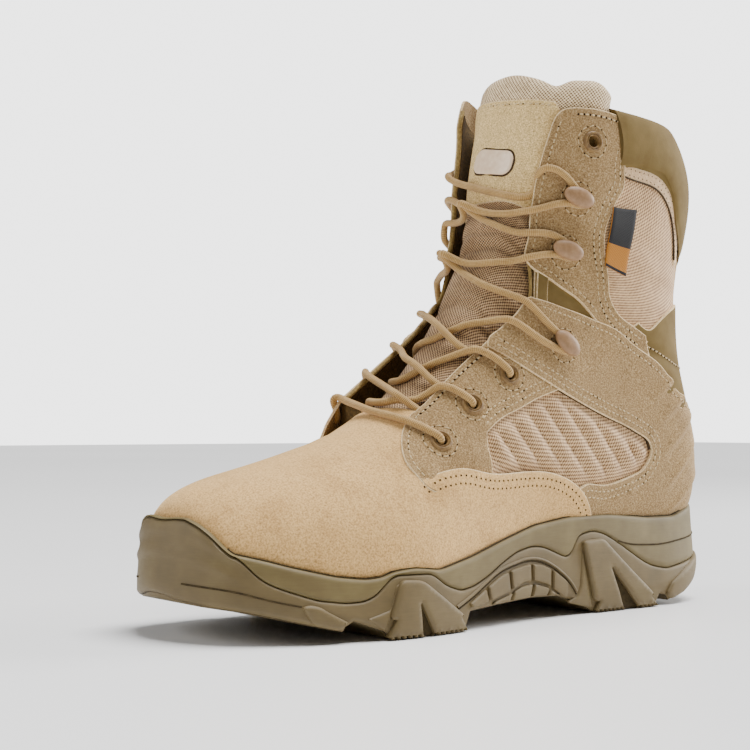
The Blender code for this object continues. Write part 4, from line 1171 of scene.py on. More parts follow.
def ring_of_holes(panel, centre, radius, count):
    """Ring of small stitches round an eyelet or a hook."""
    loop = ring_around(panel.surface, centre, radius, count * 6)
    sew(panel, np.vstack([loop, loop[:1]]), radius=.28, hole=.42, pitch=2 * np.pi * radius / count)


def sew_rows(panel, *rows):
    """Stitched rows of a panel, each a run, distances from its edge, mm left at its ends."""
    for run, gaps, start, end in rows:
        for gap in gaps:
            sew(panel, panel.row(run, gap, start, end))


def tube(points, radius, sides):
    """Round tube along points; returns points, faces, cloth places."""
    ahead = unit(np.gradient(points, axis=0))
    normal = np.cross(ahead[0], [0, 0, 1.0])
    normal = unit(normal if np.linalg.norm(normal) > .1 else np.cross(ahead[0], [1.0, 0, 0]))
    frames = []
    for t in ahead:
        normal = unit(normal - t * (normal @ t))
        frames.append(normal)
    frames = np.array(frames)
    other = np.cross(ahead, frames)
    turn = np.arange(sides) / sides * 2 * np.pi
    rings = points[:, None] + radius * (frames[:, None] * np.cos(turn)[None, :, None]
                                        + other[:, None] * np.sin(turn)[None, :, None])
    cloth = np.stack(np.broadcast_arrays(run_of(points)[:, None], turn[None, :] * 2.1), axis=-1)
    faces = grid_faces(len(points), sides, closed=True, caps=True)
    return rings.reshape(-1, 3), faces, cloth.reshape(-1, 2)


def resample(points, step):
    """The same line with points about every step mm."""
    run = run_of(points)
    return read_along(np.linspace(0, run[-1], max(2, int(run[-1] / step) + 1)), run, points)


def bead(pile, surface, path, offset, radius):
    """Round bead along a flat path: a tape's dark edge, binding, a sole line or a line of painted
    shade.
    """
    points, faces, cloth = tube(resample(surface(densify(path), offset), 1.2), radius, 8)
    pile.add(points, faces, cloth=cloth)


# ---------------------------------------------------------------- panels of the upper
WING = [(66.5, 38), (63.6, 44.7), (55.3, 55.9), (44.5, 62.4), (28, 66.3), (10.2, 66.2), (-8, 66.2),
        ("at", 7.35, .398), ("at", 6.95, .377), ("at", 6.68, .370), ("at", 6.56, .368)]
# the vamp's edge hidden under the eyestay
WING_TUCK = [("at", 6.66, .35), ("at", 6.8, .31), ("at", 6.92, .27), ("at", 7.15, .22)]
WINDOW_TOP = [(-5.4, 83.9), (3, 89.5), (15.7, 94.7), (28, 99.8), (40.5, 103.8)]
STRAP_LOW = [(5.2, 122.6), (20.8, 113.4), (40.5, 103.8), (56, 97.3), (73.1, 90.9), (86, 86.6),
             (95.8, 82.6), (102, 78.5), (103.2, 75.0), (99.6, 67.8), (91, 63.5), (80.9, 60.8),
             (68, 59.2), (56.5, 59.4)]
STRAP_TOP = [(122.4, 104.9), (110.5, 115.5), (99, 122), (87.6, 127.8), (81, 132), (66, 137),
             (56, 140), (48, 142), (37, 145)]
RIBS = [((105, 102), (135, 122)), ((109, 90), (140, 110)), ((114, 75), (141, 95)),
        ((119, 60), (143, 80)), ((125, 47), (148, 65))]
RIB_ACROSS, RIB_PITCH, RIB_HEIGHT = (.76, .65), 10.2, 2.6      # the window's ribs
FLAP_REAR = [(98, 131), (88, 136), (79, 141.5), (74.5, 148), (73, 156), (71, 165), (69.4, 173),
             (70, 181), (73, 188), (77, 195), (80.5, 200), (81.5, 205), (81.3, 211)]
LEVEL = {"eyestay": .9, "strap": 1.0, "flap": .7, "nylon": -.9, "pad": -.6}
SEAM = (3.2, 6.4)              # rows of the twin seams, from a panel's edge
EDGE_SEAM = (3.4,)             # the single row
EYELET_HOLE = 3.2              # radius of the hole punched for an eyelet


def side_view(flat):
    """y, z of flat places seen from the side."""
    return on_last(flat)[:, 1:]


def distance_to_line(points, a, b):
    """Distance from points to a stretch of line, and how far along it they lie, 0 to 1."""
    a, b = np.array(a, float), np.array(b, float)
    line = b - a
    t = ((points - a) @ line / (line @ line)).clip(0, 1)
    away = points - a - t[:, None] * line
    return np.linalg.norm(away, axis=1), t


def creased(*creases):
    """Relief of soft troughs, each two side-view ends, a depth (below 0 a ridge), a width."""
    def relief(flat):
        seen = side_view(flat)
        made = np.zeros(len(flat))
        for a, b, depth, width in creases:
            away, t = distance_to_line(seen, a, b)
            made -= depth * np.exp(-(away / width) ** 2) * np.sin(np.pi * t.clip(.03, .97))
        return made
    return relief


def eyelet_hole(side, number):
    """Hole punched for one of a side's eyelets."""
    station, fraction = EYELET_PLACES[number]
    return ring_around(on_upper, LAST.flat(station, fraction * side), EYELET_HOLE, 20)


def vamp_panel():
    """Toe and vamp in one piece, its wings reaching back under the windows."""
    wing_l, wing_m = places(WING, LATERAL), places(WING, MEDIAL)
    top = [("at", 7.12, .16), ("at", 6.98, .11), ("at", 6.82, .05), ("at", 6.76, 0.0)]
    top_l, top_m = places(top, LATERAL), places(top[:3], MEDIAL)[::-1]
    runs = [("toe", [LAST.flat(.05, -.75), LAST.flat(.05, 0)]),
            ("hem_l", hem(.1, 10.1, LATERAL)),
            ("wing_l", wing_l), ("under_l", places(WING_TUCK, LATERAL)),
            ("top", np.vstack([top_l, top_m])),
            ("under_m", places(WING_TUCK, MEDIAL)[::-1]),
            ("wing_m", wing_m[::-1]), ("hem_m", hem(.1, 10.1, MEDIAL)[::-1])]
    wings = np.concatenate([on_last(densify(w[1:], 1.0)) for w in (wing_l, wing_m)])
    tucks = np.concatenate([on_last(densify(places(WING_TUCK, side), 1.0)) for side, _ in SIDES])

    def top_height(flat):
        points = on_last(flat)
        lift = (1 - soft(distance_to(wings, points), 3, 22)) * soft(points[:, 1], -46, -34)
        lift *= soft(distance_to(tucks, points), 1, 7)
        crease = np.zeros(len(flat))
        # shallow flex dimples where the vamp meets the throat
        for y, depth in ((-52, .5), (-64, .35)):
            crease -= depth * np.exp(-((points[:, 1] - y + .12 * np.abs(points[:, 0])) / 5.0) ** 2)
        fade = soft(points[:, 2], 45, 70)
        return 1.5 * lift + crease * fade
    return Panel(on_last, runs, top=top_height, thick=1.3, step=1.9)


def eyestay_panel(side):
    """Suede round the three lower eyelets, from the throat's nose back to the window."""
    runs = runs_at(
        side, front=free_edge(9.7, 7.3, side),
        nose=[("at", 6.95, .152), ("at", 6.65, .172), ("at", 6.4, .208), ("at", 6.25, .25),
              ("at", 6.2, .30), ("at", 6.29, .34), ("at", 6.4, .375), ("at", 6.5, .40)],
        low=[("at", 6.65, .42), (-30, 60.5), (-12, 60.5)],
        rear=[(-3.9, 62), (-4.2, 69.5), (-6, 78)], window=WINDOW_TOP,
        under=[(46, 106), (33, 113), (20, 119), (12, 124)])
    wing = on_last(densify(places(WING, side), 1.0))
    tuck = on_last(densify(places(WING_TUCK, side), 1.0))

    def top_height(flat):
        points = on_last(flat)
        near = 1 - soft(distance_to(wing, points), 0, 9)
        return LEVEL["eyestay"] - 1.15 * near * soft(distance_to(tuck, points), 1, 7)
    return Panel(on_upper, runs, top=top_height, thick=1.4,
                 holes=[eyelet_hole(side, n) for n in range(3)],
                 seams=[("window", SEAM), ("nose", SEAM[:1])])


def strap_panel(side):
    """Suede strap from the ankle hook over the window and round the heel."""
    runs = runs_at(
        side, front=free_edge(11.25, 9.45, side), low=STRAP_LOW, tuck=[(50, 56), (56, 46)],
        hem=hem(10.6, 13.2, side), back=[("back", z) for z in (42.0, 50, 58, 66, 74, 82, 90)],
        top=[("back", 100), (135, 99.5)] + STRAP_TOP, corner=[(31.5, 146.2), ("at", 11.42, .208)])

    def relief(flat):
        seen = side_view(flat)
        made = np.zeros(len(flat))
        for a, b in RIBS:
            away, t = distance_to_line(seen, a, b)
            ends = np.sin(np.pi * t.clip(.02, .98)) ** .5
            made += 1.5 * np.exp(-(away / 2.6) ** 2) * ends
            trough, _ = distance_to_line(seen - [2.2, -3.4], a, b)
            made -= .9 * np.exp(-(trough / 2.0) ** 2) * ends
        return made

    def top_height(flat):
        return LEVEL["strap"] + .5 * (1 - soft(side_view(flat)[:, 0], 34, 60))
    return Panel(on_upper, runs, top=top_height, thick=1.5, relief=relief, step=1.8,
                 seams=[("low", SEAM), ("top", EDGE_SEAM)])


def flap_panel(side):
    """Suede flap of the upper hooks and the top eyelet."""
    top = [("at", 18.72, .470), ("at", 18.78, .40), ("at", 18.78, .33)]
    corner = [("at", 18.72, .275), ("at", 18.6, .237)]
    if side == MEDIAL:
        top = [("at", 18.72, .456), ("at", 18.95, .40), ("at", 19.15, .35)]
        corner = [("at", 19.1, .30), ("at", 18.85, .245), ("at", 18.5, .213)]
    runs = runs_at(
        side, front=free_edge(18.3, 12.75, side),
        tip=[("at", 12.45, .136), ("at", 12.25, .15), ("at", 12.27, .175), (38, 157.2),
             (41, 155.4), (48, 151), (55, 147), (61, 142)],
        under=[(66, 137), (73, 129), (88, 122)], tail=[(101, 121), (99, 127)], rear=FLAP_REAR,
        up=[(83.0, 218), (85.0, 228)], top=top, corner=corner)
    # soft ankle creases in front of the shaft
    relief = creased(((36, 176), (66, 170), .7, 4.0), ((38, 190), (70, 182), .5, 4.5),
                     ((42, 160), (72, 150), .5, 4.0))
    return Panel(on_upper, runs, top=LEVEL["flap"], thick=1.4, relief=relief,
                 holes=[eyelet_hole(side, 3)],
                 seams=[("rear", SEAM), ("front", EDGE_SEAM), ("tip", EDGE_SEAM)])


def window_panel(side):
    """Ribbed nylon window of the side, its ribs worked over foam."""
    runs = runs_at(
        side, top=[(-10, 86), (-2, 92), (12, 99), (28, 105), (42, 109), (56, 103), (75, 95),
                   (90, 90), (101, 86)],
        rear=[(108, 80), (107, 70), (103, 63)],
        low=[(90, 57.5), (70, 54), (50, 54), (28, 59), (8, 59.5)], front=[(-11, 60), (-11.5, 72)])
    seen_loop = places(WINDOW_TOP + STRAP_LOW[2:] + [(44.5, 62.4), (28, 66.3), (10.2, 66.2),
                                                     (-4, 67), (-4.2, 72)], side)

    def relief(flat):
        wave = np.abs(np.cos(np.pi * (side_view(flat) @ RIB_ACROSS) / RIB_PITCH)) ** .8
        away = nearest_flat([seen_loop], flat)
        return (.1 + RIB_HEIGHT * wave) * soft(away, 0, 6) * inside(seen_loop, flat)
    return Panel(on_upper, runs, top=LEVEL["nylon"], thick=1.0, relief=relief, step=1.5)


def shaft_panel(side):
    """Nylon of the shaft behind the flap."""
    runs = runs_at(
        side, front=[(88, 128), (78, 137), (67, 146), (64, 158), (61, 170), (62, 182), (69, 195),
                     (73, 203), (72, 212)],
        top=[(76, 217), (95, 217), (110, 214), ("at", 17.9, .66), ("at", 17.5, .75),
             ("at", 17.3, .86)],
        back=[("at", 17.3, 1.0), ("at", 16.9, 1.0)],
        low=[("back", 140), (132, 137.5), (121, 134), (108, 127), (100, 124)])
    relief = creased(((78, 180), (128, 166), .9, 6.0), ((84, 160), (132, 150), .7, 5.5),
                     ((92, 200), (118, 190), -.5, 6.0))
    return Panel(on_upper, runs, top=LEVEL["nylon"] + .3, thick=1.0, relief=relief, step=2.0)


def heel_pad_panel(side):
    """Padded olive panel over the heel strap, crossed by one seam."""
    runs = runs_at(
        side, front=[(86, 121), (88, 133)],
        top=[(93, 137), (99, 134), (106, 137), (121, 145), (135, 149)],
        back=[("back", 151), ("back", 120)],
        low=[("back", 93), (135, 94), (121, 98), (108, 108)])

    def puff(flat):
        away, _ = distance_to_line(side_view(flat), (94, 126), (124, 117))
        return LEVEL["pad"] + 1.1 * (1 - np.exp(-(away / 3.5) ** 2))
    return Panel(on_upper, runs, top=puff, thick=1.4, step=2.0)


def gusset_panel(side):
    """Olive gusset between the flap and the strap."""
    runs = runs_at(side, front=[(34.5, 162), (33.2, 153)],
                   low=[(31.5, 143), (40, 140), (52, 136), (62, 132)],
                   top=[(70, 133), (64, 145), (52, 155), (42, 162)])
    return Panel(on_upper, runs, top=-.7, thick=1.0)


def gusset_loop_panel(side):
    """Folded loop at the gusset's front."""
    path = places([(38.3, 160), (37.2, 153), (36.2, 147), (35.5, 141)], side)
    return Panel(on_upper, band(on_upper, path, 6.0), top=.35, thick=1.3, step=1.2, rim=1.2,
                 drop=.9)


TAPE_TOP = [("at", 17.48, .43), ("at", 17.52, .48), ("at", 17.6, .54), ("at", 17.62, .60),
            ("at", 17.52, .655), ("at", 17.36, .70), ("at", 17.1, .745), ("at", 16.75, .78)]
TAPE_LOW = [(92, 136), (96, 130.5), (101, 130.2), (107, 132.5), (114, 136.5), (121, 140.5),
            (130, 144), ("back", 147)]
TAPE_INNER = {LATERAL: "left", MEDIAL: "right"}        # the run beside the nylon


def tape_panels(side):
    """Tapes over the nylon's upper and lower seams."""
    return [Panel(on_upper, band(on_upper, places(path, side), width), top=top, thick=1.0, step=1.6)
            for path, width, top in ((TAPE_TOP, 6.2, -.15), (TAPE_LOW, 4.6, .15))]


def back_strip_panel():
    """Olive strip over the back seam, narrowing from the collar downwards."""
    edge = ((17.4, .80), (16.95, .835), (16.5, .86), (16.1, .88), (15.8, .90), (15.6, .93))
    runs = runs_at(
        left=[("at", s, w) for s, w in edge],
        foot=[("at", 15.55, .96), ("at", 15.5, 1.0), ("at", 15.55, 1.04)],
        right=[("at", s, 2 - w) for s, w in edge[::-1]], top=[("at", 17.4, 1.2), ("at", 17.4, 1.0)])
    return Panel(on_upper, runs, top=.2, thick=1.4, rim=1.0, drop=.6, step=1.8)


def build_lining_mesh():
    """Two thin halves inside the panels, from the flap's edge round to the back."""
    pile, width = Pile(), 61
    stations = np.concatenate([np.arange(.6, 7.0, .4), np.arange(7.02, 18.5, .25)])
    for side, _ in SIDES:
        sheets = []
        for offset in (-1.55, -2.45):
            points = []
            for s in stations:
                start = curved_edge(s) + .006 if s > 7 else 0.0
                around = start + (1 - start) * np.linspace(0, 1, width)
                high = np.where(around < .45, s, np.minimum(s, 18.3))
                surface = on_upper if s > 7 else on_last
                points.append(surface(LAST.flat(high, around * side), offset))
            sheets.append(np.concatenate(points))
        pile.add(np.concatenate(sheets), sheet_faces(len(stations), width, side == LATERAL))
    return pile


# ---------------------------------------------------------------- collar and tongue
def collar_low(size):
    """Station of the collar's outer lower edge at a fraction around."""
    return np.interp(size, [.43, .51, .61, .667, .72, .80, 1.0],
                     [17.5, 17.75, 17.82, 17.6, 17.25, 17.0, 16.95])


def build_collar_mesh():
    """Padded roll: down the outside, over the rim and down the inside."""
    start = .425
    around = np.concatenate([np.linspace(start, 1, 90), np.linspace(1, 2 - start, 90)[1:]])
    inner = [(18.95, -1.2), (19.02, -3.2), (18.9, -5.2), (18.55, -6.6), (18.1, -7.0),
             (17.6, -6.4), (17.2, -5.0), (16.9, -3.6), (16.85, -2.5), (17.3, -2.4)]
    outer = [(0.0, .1), (.02, .8), (.10, 1.5), (.28, 2.0), (.55, 2.35), (.85, 2.4),
             (1.15, 2.1), (1.38, 1.3), (1.48, .2)]
    high, count = 18.92, len(outer) + len(inner)
    at = np.linspace(0, count, 72, endpoint=False)
    points, cloth = [], []
    for w in around:
        size = min(w, 2 - w)
        low = collar_low(size)
        pinch = 1 - .25 * np.exp(-((size - start) / .03) ** 2)
        ring = np.array([(low + (high - low) * t / 1.48, o * pinch) for t, o in outer] + inner)
        wrapped = np.concatenate([ring[-3:], ring, ring[:4]])
        stations, heights = natural_spline(np.arange(-3, count + 4), wrapped, at).T
        cloth.append(LAST.flat(stations, w))
        points.append(on_last(cloth[-1], heights))
    faces = grid_faces(len(around), 72, closed=True, flip=True, caps=True)
    return Pile().add(np.concatenate(points), faces, 0, np.concatenate(cloth))


def tongue_half(station):
    """Lateral and medial reach of the tongue as fractions."""
    stations, reach = [6.0, 7.4, 9, 12, 16, 18.6, 19.6, 20.6], [.15, .20, .25, .29, .31]
    return (np.interp(station, stations, reach + [.43, .45, .43]),
            np.interp(station, stations, reach + [.33, .33, .30]))


TONGUE_TOP = [(-.33, 251), (-.28, 254.5), (-.14, 258.3), (0, 259), (.1, 255.5), (.17, 251.8),
              (.215, 249.6), (.26, 251.6), (.33, 252.6), (.40, 251.5), (.45, 245)]


def tongue_face(station, around):
    """Soft relief of the tongue's padded face."""
    relief = .9 * np.exp(-((station - 13.1) / .9) ** 2) + .7 * np.exp(-((station - 11.0) / .7) ** 2)
    wrinkle = np.zeros_like(station)
    for centre, depth, width, tilt in ((9.0, 1.1, .16, 1.2), (9.9, 1.4, .18, -1.0),
                                       (12.0, 1.9, .24, 1.4), (12.75, 1.5, .2, -1.0),
                                       (13.9, 1.4, .22, .8)):
        wrinkle -= depth * np.exp(-((station - centre - tilt * around) / width) ** 2)
    return relief + wrinkle


def build_tongue_mesh():
    """Padded tongue with a wavy rounded top edge, its outer lobe folded beside the flap."""
    rows, width = 210, 97
    top_z = np.array(TONGUE_TOP)
    grids = []
    for k in range(width):
        t = k / (width - 1) * 2 - 1
        w_high = np.interp(t, [-1, 0, 1], [-.33, 0, .45])
        z_high = natural_spline(top_z[:, 0], top_z[:, 1:], [w_high])[0, 0]
        s = np.linspace(16, 21, 101)
        heights = LAST.at(s, np.full(101, w_high), -3.3)[:, 2]
        s_high = float(np.interp(z_high, heights, s))
        stations = np.linspace(6.0, s_high, rows)
        lateral, medial = tongue_half(stations)
        around = np.where(t > 0, t * lateral, t * medial)
        grids.append(np.stack([stations, around], axis=1))
    grid = np.array(grids).transpose(1, 0, 2)
    i, k = np.meshgrid(np.arange(rows), np.arange(width), indexing="ij")
    edge = np.minimum(np.minimum(k, width - 1 - k) * 1.1, np.minimum(rows - 1 - i, i))
    thick = 1.0 + 2.1 * np.sqrt(1 - (1 - (edge / 7.0).clip(0, 1)) ** 2)
    station, around = grid[..., 0].ravel(), grid[..., 1].ravel()
    flat = LAST.flat(station, around)
    middle = -6.0
    lobe = .8 * np.exp(-((around - .37) / .06) ** 2) * soft(station, 18.2, 19.2)
    puff = soft(station, 18.0, 19.4) + lobe
    fade = (edge.ravel() / 6).clip(0, 1)
    outer = middle + thick.ravel() + (tongue_face(station, around) + puff - .35) * fade
    return Pile().add(np.concatenate([on_last(flat, outer), on_last(flat, middle - thick.ravel())]),
                      sheet_faces(rows, width), 0, np.concatenate([flat, flat]))


def on_tongue(flat, offset=0.0):
    """Outer face of the tongue over flat places."""
    station, around = LAST.unflat(flat)
    return LAST.at(station, around, -3.25 + tongue_face(station, around) + offset
                   + 1.0 * soft(station, 18.0, 19.4))


def tongue_suede_panel():
    """Suede facing of the tongue's upper part, turned over at its top."""
    runs = runs_at(
        left=[("at", 19.2, -.28), ("at", 18.8, -.27), ("at", 17.5, -.25), ("at", 16, -.235),
              ("at", 14.8, -.22)],
        low=[("at", 14.15, -.2), ("at", 14.1, -.1), ("at", 14.1, 0.0), ("at", 14.1, .1)],
        right=[("at", 14.15, .2), ("at", 15.5, .215), ("at", 17, .215), ("at", 18.2, .225),
               ("at", 18.7, .225)],
        top=[("at", 18.95, .215), ("at", 19.08, .15), ("at", 19.22, .06), ("at", 19.35, -.02),
             ("at", 19.43, -.1), ("at", 19.42, -.19)])
    return Panel(on_tongue, runs, top=.9, thick=1.8, step=1.7, seams=[("top", (2.2,))])


def pill(width, height, corner, count):
    """Rounded rectangle's outline, anticlockwise."""
    made = []
    for quarter, (sx, sy) in enumerate(((1, 1), (-1, 1), (-1, -1), (1, -1))):
        for t in np.linspace(0, 1, count):
            turn = (quarter + t) * np.pi / 2
            made.append((sx * (width / 2 - corner) + corner * np.cos(turn),
                         sy * (height / 2 - corner) + corner * np.sin(turn)))
    return np.array(made)


def upright_axes(surface, flat):
    """Across and up a surface, up as near vertical as it goes, and flat steps for 1 mm each way."""
    flat = np.asarray(flat, float).reshape(1, 2)
    a, b = (v[0] for v in tangents(surface, flat))
    out = unit(surface(flat, 1.0)[0] - surface(flat)[0])
    up = unit(np.array([0, 0, 1.0]) - out * out[2])
    return np.cross(up, out), up, np.linalg.pinv(np.stack([a, b], axis=1)).T


def draped(surface, centre, x, y, turn, height):
    """Points over a surface from a turned drawing's x, y about a flat centre."""
    across, up, solve = upright_axes(surface, centre)
    c, s = np.cos(turn), np.sin(turn)
    move = (x * c - y * s)[:, None] * across + (x * s + y * c)[:, None] * up
    return surface(centre + move @ solve, height)


def draped_plate(surface, centre, outline, profile, turn):
    """Plate draped over a surface: rings of its outline, each (inset, height)."""
    step = np.roll(outline, -1, axis=0) - np.roll(outline, 1, axis=0)
    inward = unit(np.stack([-step[:, 1], step[:, 0]], axis=1))
    rings = [outline + inward * inset if inset < 3 else outline * (1 - inset / 10)
             for inset, _ in profile]
    points = [draped(surface, centre, *ring.T, turn, np.full(len(ring), float(height)))
              for ring, (_, height) in zip(rings, profile)]
    faces = grid_faces(len(profile), len(outline), closed=True, caps=True)
    return np.concatenate(points), faces, np.concatenate(rings)


BADGE_TURN, TAB_TURN = np.radians(-11), np.radians(-10)
LIT_TOP_LOW = 236.0           # faces of the tongue above this height get its paler nylon: painted light


def build_badge_mesh():
    """Plain pill-shaped plate: a low ledge round its edge and a raised, gently domed field."""
    outline = pill(31, 14.5, 6.6, 14)
    profile = [(.4, -.6), (0, -.2), (0, 1.1), (.45, 1.2), (.95, 1.15), (1.0, 1.3), (1.1, 1.7),
               (1.4, 1.95), (2.0, 2.1), (2.9, 2.2), (4.5, 2.3), (7, 2.35), (9, 2.35)]
    pile = Pile()
    points, faces, cloth = draped_plate(on_tongue, LAST.flat(16.3, 0.0), outline, profile,
                                        BADGE_TURN)
    # its flat foot is painted dark: painted shade of the recess round the plate
    marks = [int(face < 5 * len(outline)) for face in range(len(faces))]
    pile.add(points, faces, marks, cloth)
    return pile


def build_tab_mesh():
    """Plain woven tab in two colours, folded under at its ends."""
    width, height, columns, rows = 13.5, 31.0, 15, 40
    x, y = np.meshgrid(np.linspace(-width / 2, width / 2, columns),
                       np.linspace(-height / 2, height / 2, rows))
    edge = np.minimum(width / 2 - np.abs(x), height / 2 - np.abs(y)).ravel()
    x, y = x.ravel(), y.ravel()
    curl = .35 * np.sin(y / height * np.pi * 2) + .8 * ((x / width + .5) ** 2)
    drop = .25 * (1 - (edge / .8).clip(0, 1)) ** 2
    sheets = [draped(on_upper, LAST.flat(15.72, .448), x, y, TAB_TURN, level + curl - drop * part)
              for level, part in ((2.0, 1), (.9, -.4))]
    share = (np.arange(rows - 1) + .5) / (rows - 1)
    dark = [int(t < .06 or t > .43) for t in share for _ in range(columns - 1)] * 2
    faces = sheet_faces(rows, columns)
    cloth = np.stack([x, y], axis=1)
    return Pile().add(np.concatenate(sheets), faces, dark + [0] * (len(faces) - len(dark)),
                      np.concatenate([cloth, cloth]))


# ---------------------------------------------------------------- hardware
def turned(origin, axes, profile, sides, stretch=1.0):
    """Turned solid's points from (radius, height) rows; stretch lengthens its first axis."""
    a, b, n = axes
    turn = np.arange(sides) / sides * 2 * np.pi
    return [origin + n * h + r * (a * np.cos(t) * stretch + b * np.sin(t))
            for r, h in profile for t in turn]


def hardware_frame(side, station, fraction, level):
    """Origin, ahead, across and out of an eyelet or a hook on its panel's face."""
    flat = np.array([LAST.flat(station, fraction * side)])
    origin = on_upper(flat, level)[0]
    out = unit(on_upper(flat, level + 1)[0] - origin)
    ahead = unit(on_upper(np.array([LAST.flat(station, (fraction + .03) * side)]), level)[0]
                 - origin)
    ahead = unit(ahead - out * (ahead @ out))
    return origin, ahead, np.cross(out, ahead), out


def build_eyelet_mesh(side, station, fraction):
    """Rolled ring of an eyelet with its barrel through the flap."""
    origin, *axes = hardware_frame(side, station, fraction, .75)
    profile = [(2.6, -3.6), (2.6, .3), (2.75, .9), (3.1, 1.2), (3.4, .85), (3.65, .75), (3.95, 1.2),
               (4.3, 1.3), (4.75, 1.0), (5.15, .3), (5.2, -.1), (3.0, -.15), (2.9, -3.6)]
    sides, last = 36, 36 * (len(profile) - 1)
    faces = grid_faces(len(profile), sides, closed=True, flip=True)
    faces += [[last + (k + 1) % sides, last + k, k, (k + 1) % sides] for k in range(sides)]
    return Pile().add(turned(origin, axes, profile, sides), faces)


def build_hook_mesh(side, station, fraction, lean):
    """Speed hook: riveted foot, short post and a smooth oval cap turned down at the rear."""
    origin, _, _, n = hardware_frame(side, station, fraction, .8)
    up = unit(np.array([0, 0, 1.0]) - n * n[2])
    long_axis = np.cross(up, n) * side * np.cos(lean) - up * np.sin(lean)
    axes = (long_axis, np.cross(n, long_axis), n)
    foot = [(.01, -.6), (3.9, -.6), (4.1, -.1), (4.0, .5), (3.3, .8), (1.9, 1.0), (1.8, 1.6),
            (1.8, 3.6), (.01, 3.6)]
    cap = [(.01, 2.5), (2.6, 2.45), (3.9, 2.7), (4.5, 3.3), (4.65, 4.0), (4.45, 4.8), (3.8, 5.6),
           (2.8, 6.2), (1.6, 6.5), (.01, 6.6)]
    pile = Pile()
    for profile, stretch, forward in ((foot, 1.12, 0), (cap, 1.72, 1.0)):
        pile.add(turned(origin - long_axis * forward, axes, profile, 40, stretch),
                 grid_faces(len(profile), 40, closed=True, caps=True))
    return pile


# ---------------------------------------------------------------- laces
# routes as side-signed (station, fraction) or (station, fraction, height over the last);
# each comes from under one flap, crosses the tongue and goes over the other flap's edge
LACES = [
    # short bar over the throat
    [("eye", -1, 0), ("rim", 6.9, 7.1), (6.7, -.07, 5.0), (6.52, .046), (6.7, .16), (7.02, .25),
     ("eye", 1, 0)],
    # between the lower eyelets, to the lateral and to the medial side in turn
    [("in", -1, 0), (7.45, -.2, -1.6), (7.2, -.12, -1.0), (6.95, -.06, .6), (6.78, .022),
     (6.9, .058), (7.14, .109), (7.62, .139), (7.88, .169), (8.06, .226), ("eye", 1, 1)],
    [("in", 1, 0), (7.3, .22, -1.9), (7.2, .16, -1.9), (7.1, .12, .6), (7.06, .085, 3.2),
     (7.12, .04, 3.8), (7.35, -.04, 3.2), ("rim", 7.85, 8.1), ("eye", -1, 1)],
    [("in", -1, 1), (8.3, -.2, -1.9), (7.95, -.13, -1.7), (7.7, -.07), (7.58, -.02), (7.94, .031),
     (8.34, .097), (8.74, .145), (9.1, .196), (9.36, .25), ("eye", 1, 2)],
    [("in", 1, 1), (8.1, .23, -1.9), (7.95, .185, -1.9), (7.8, .12), (7.88, .065, 1.6),
     (7.96, .02, 3.5), (8.12, -.04, 3.0), (8.5, -.10, 2.0), ("rim", 9.05, 9.3), ("eye", -1, 2)],
    # from the third medial eyelet round the hooks to the top one
    [("in", -1, 2), (9.4, -.22, -1.9), (9.0, -.14, -1.7), (8.8, -.07), (8.72, -.008), (9.04, .04),
     (9.38, .103), (10.08, .181), (10.38, .214), (10.64, .274), (10.92, .315), ("hook", 1, 0),
     (11.3, .29), (11.12, .214), (10.78, .15), (10.5, .091), (10.6, .045), (10.8, .0),
     (11.1, -.045), (11.75, -.095, 2.0), ("rim", 12.5, 12.9), ("hook", -1, 1),
     ("rim", 13.8, 13.5), (13.5, -.09, 1.5), (13.42, -.045), (13.42, .01), (13.48, .073),
     (14.0, .13), (14.62, .175), (15.2, .22), (15.45, .245), ("hook", 1, 2), (16.25, .25),
     (16.40, .225), (16.22, .181), (15.9, .150), (15.5, .165, -1.6), (15.0, .165, -1.6),
     (14.5, .125), (14.4, .06), (14.8, -.02), (15.2, -.065), (15.5, -.11, 1.5),
     ("rim", 16.1, 16.5), ("eye", -1, 3)],
    # from the third lateral eyelet round the hooks to the top one
    [("in", 1, 2), (9.35, .25, -1.9), (9.15, .21, -1.9), (8.82, .148), (8.8, .10),
     (8.9, .055, 2.4), (9.02, .02, 3.5), (9.3, -.04, 2.6), (9.8, -.12, 1.5), ("rim", 10.6, 10.9),
     ("hook", -1, 0), ("rim", 11.9, 11.6), (11.3, -.10, 1.5), (11.1, -.03), (11.14, -.005),
     (11.28, .073), (11.7, .11), (12.2, .142), (12.9, .17), (13.4, .2), ("hook", 1, 1),
     (14.0, .2), (13.7, .165), (13.3, .14), (13.0, .115), (12.9, .058), (13.15, .01),
     (13.54, -.032), (14.3, -.085, 1.0), ("rim", 15.2, 15.4), ("hook", -1, 2),
     ("mouth", -1, 3)],
]


def lace_stop(kind, side, index, before):
    """Points of a lace at an eyelet, from inside or outside, or round a hook's post."""
    if kind == "hook":
        station, fraction = HOOK_PLACES[index]
        centre = LAST.flat(station, fraction * side)
        seen = on_upper(ring_around(on_upper, centre, 3.4, 36), 2.6)
        away = seen - on_upper(np.array([centre]), 2.6)[0]
        # start below and in front, pass behind, leave above and in front
        angle = np.arctan2(away[:, 2], away[:, 1])
        order = [np.argmin(np.abs((angle - t + np.pi) % (2 * np.pi) - np.pi))
                 for t in np.radians([-115, -65, -10, 45, 100])]
        return [seen[k] for k in order]
    station, fraction = EYELET_PLACES[index]
    stops = {"in": [(-4.2, -.012), (-2.0, 0)], "eye": [(2.4, 0), (.6, 0), (-3.2, 0)],
             "mouth": [(3.6, .035), (3.0, .035)]}
    made = []
    for height, aside in stops[kind]:
        place = np.array([LAST.flat(station, (fraction + aside) * side)])
        made.append(on_upper(place, height)[0])
    return made if before else made[::-1] if kind == "eye" else made


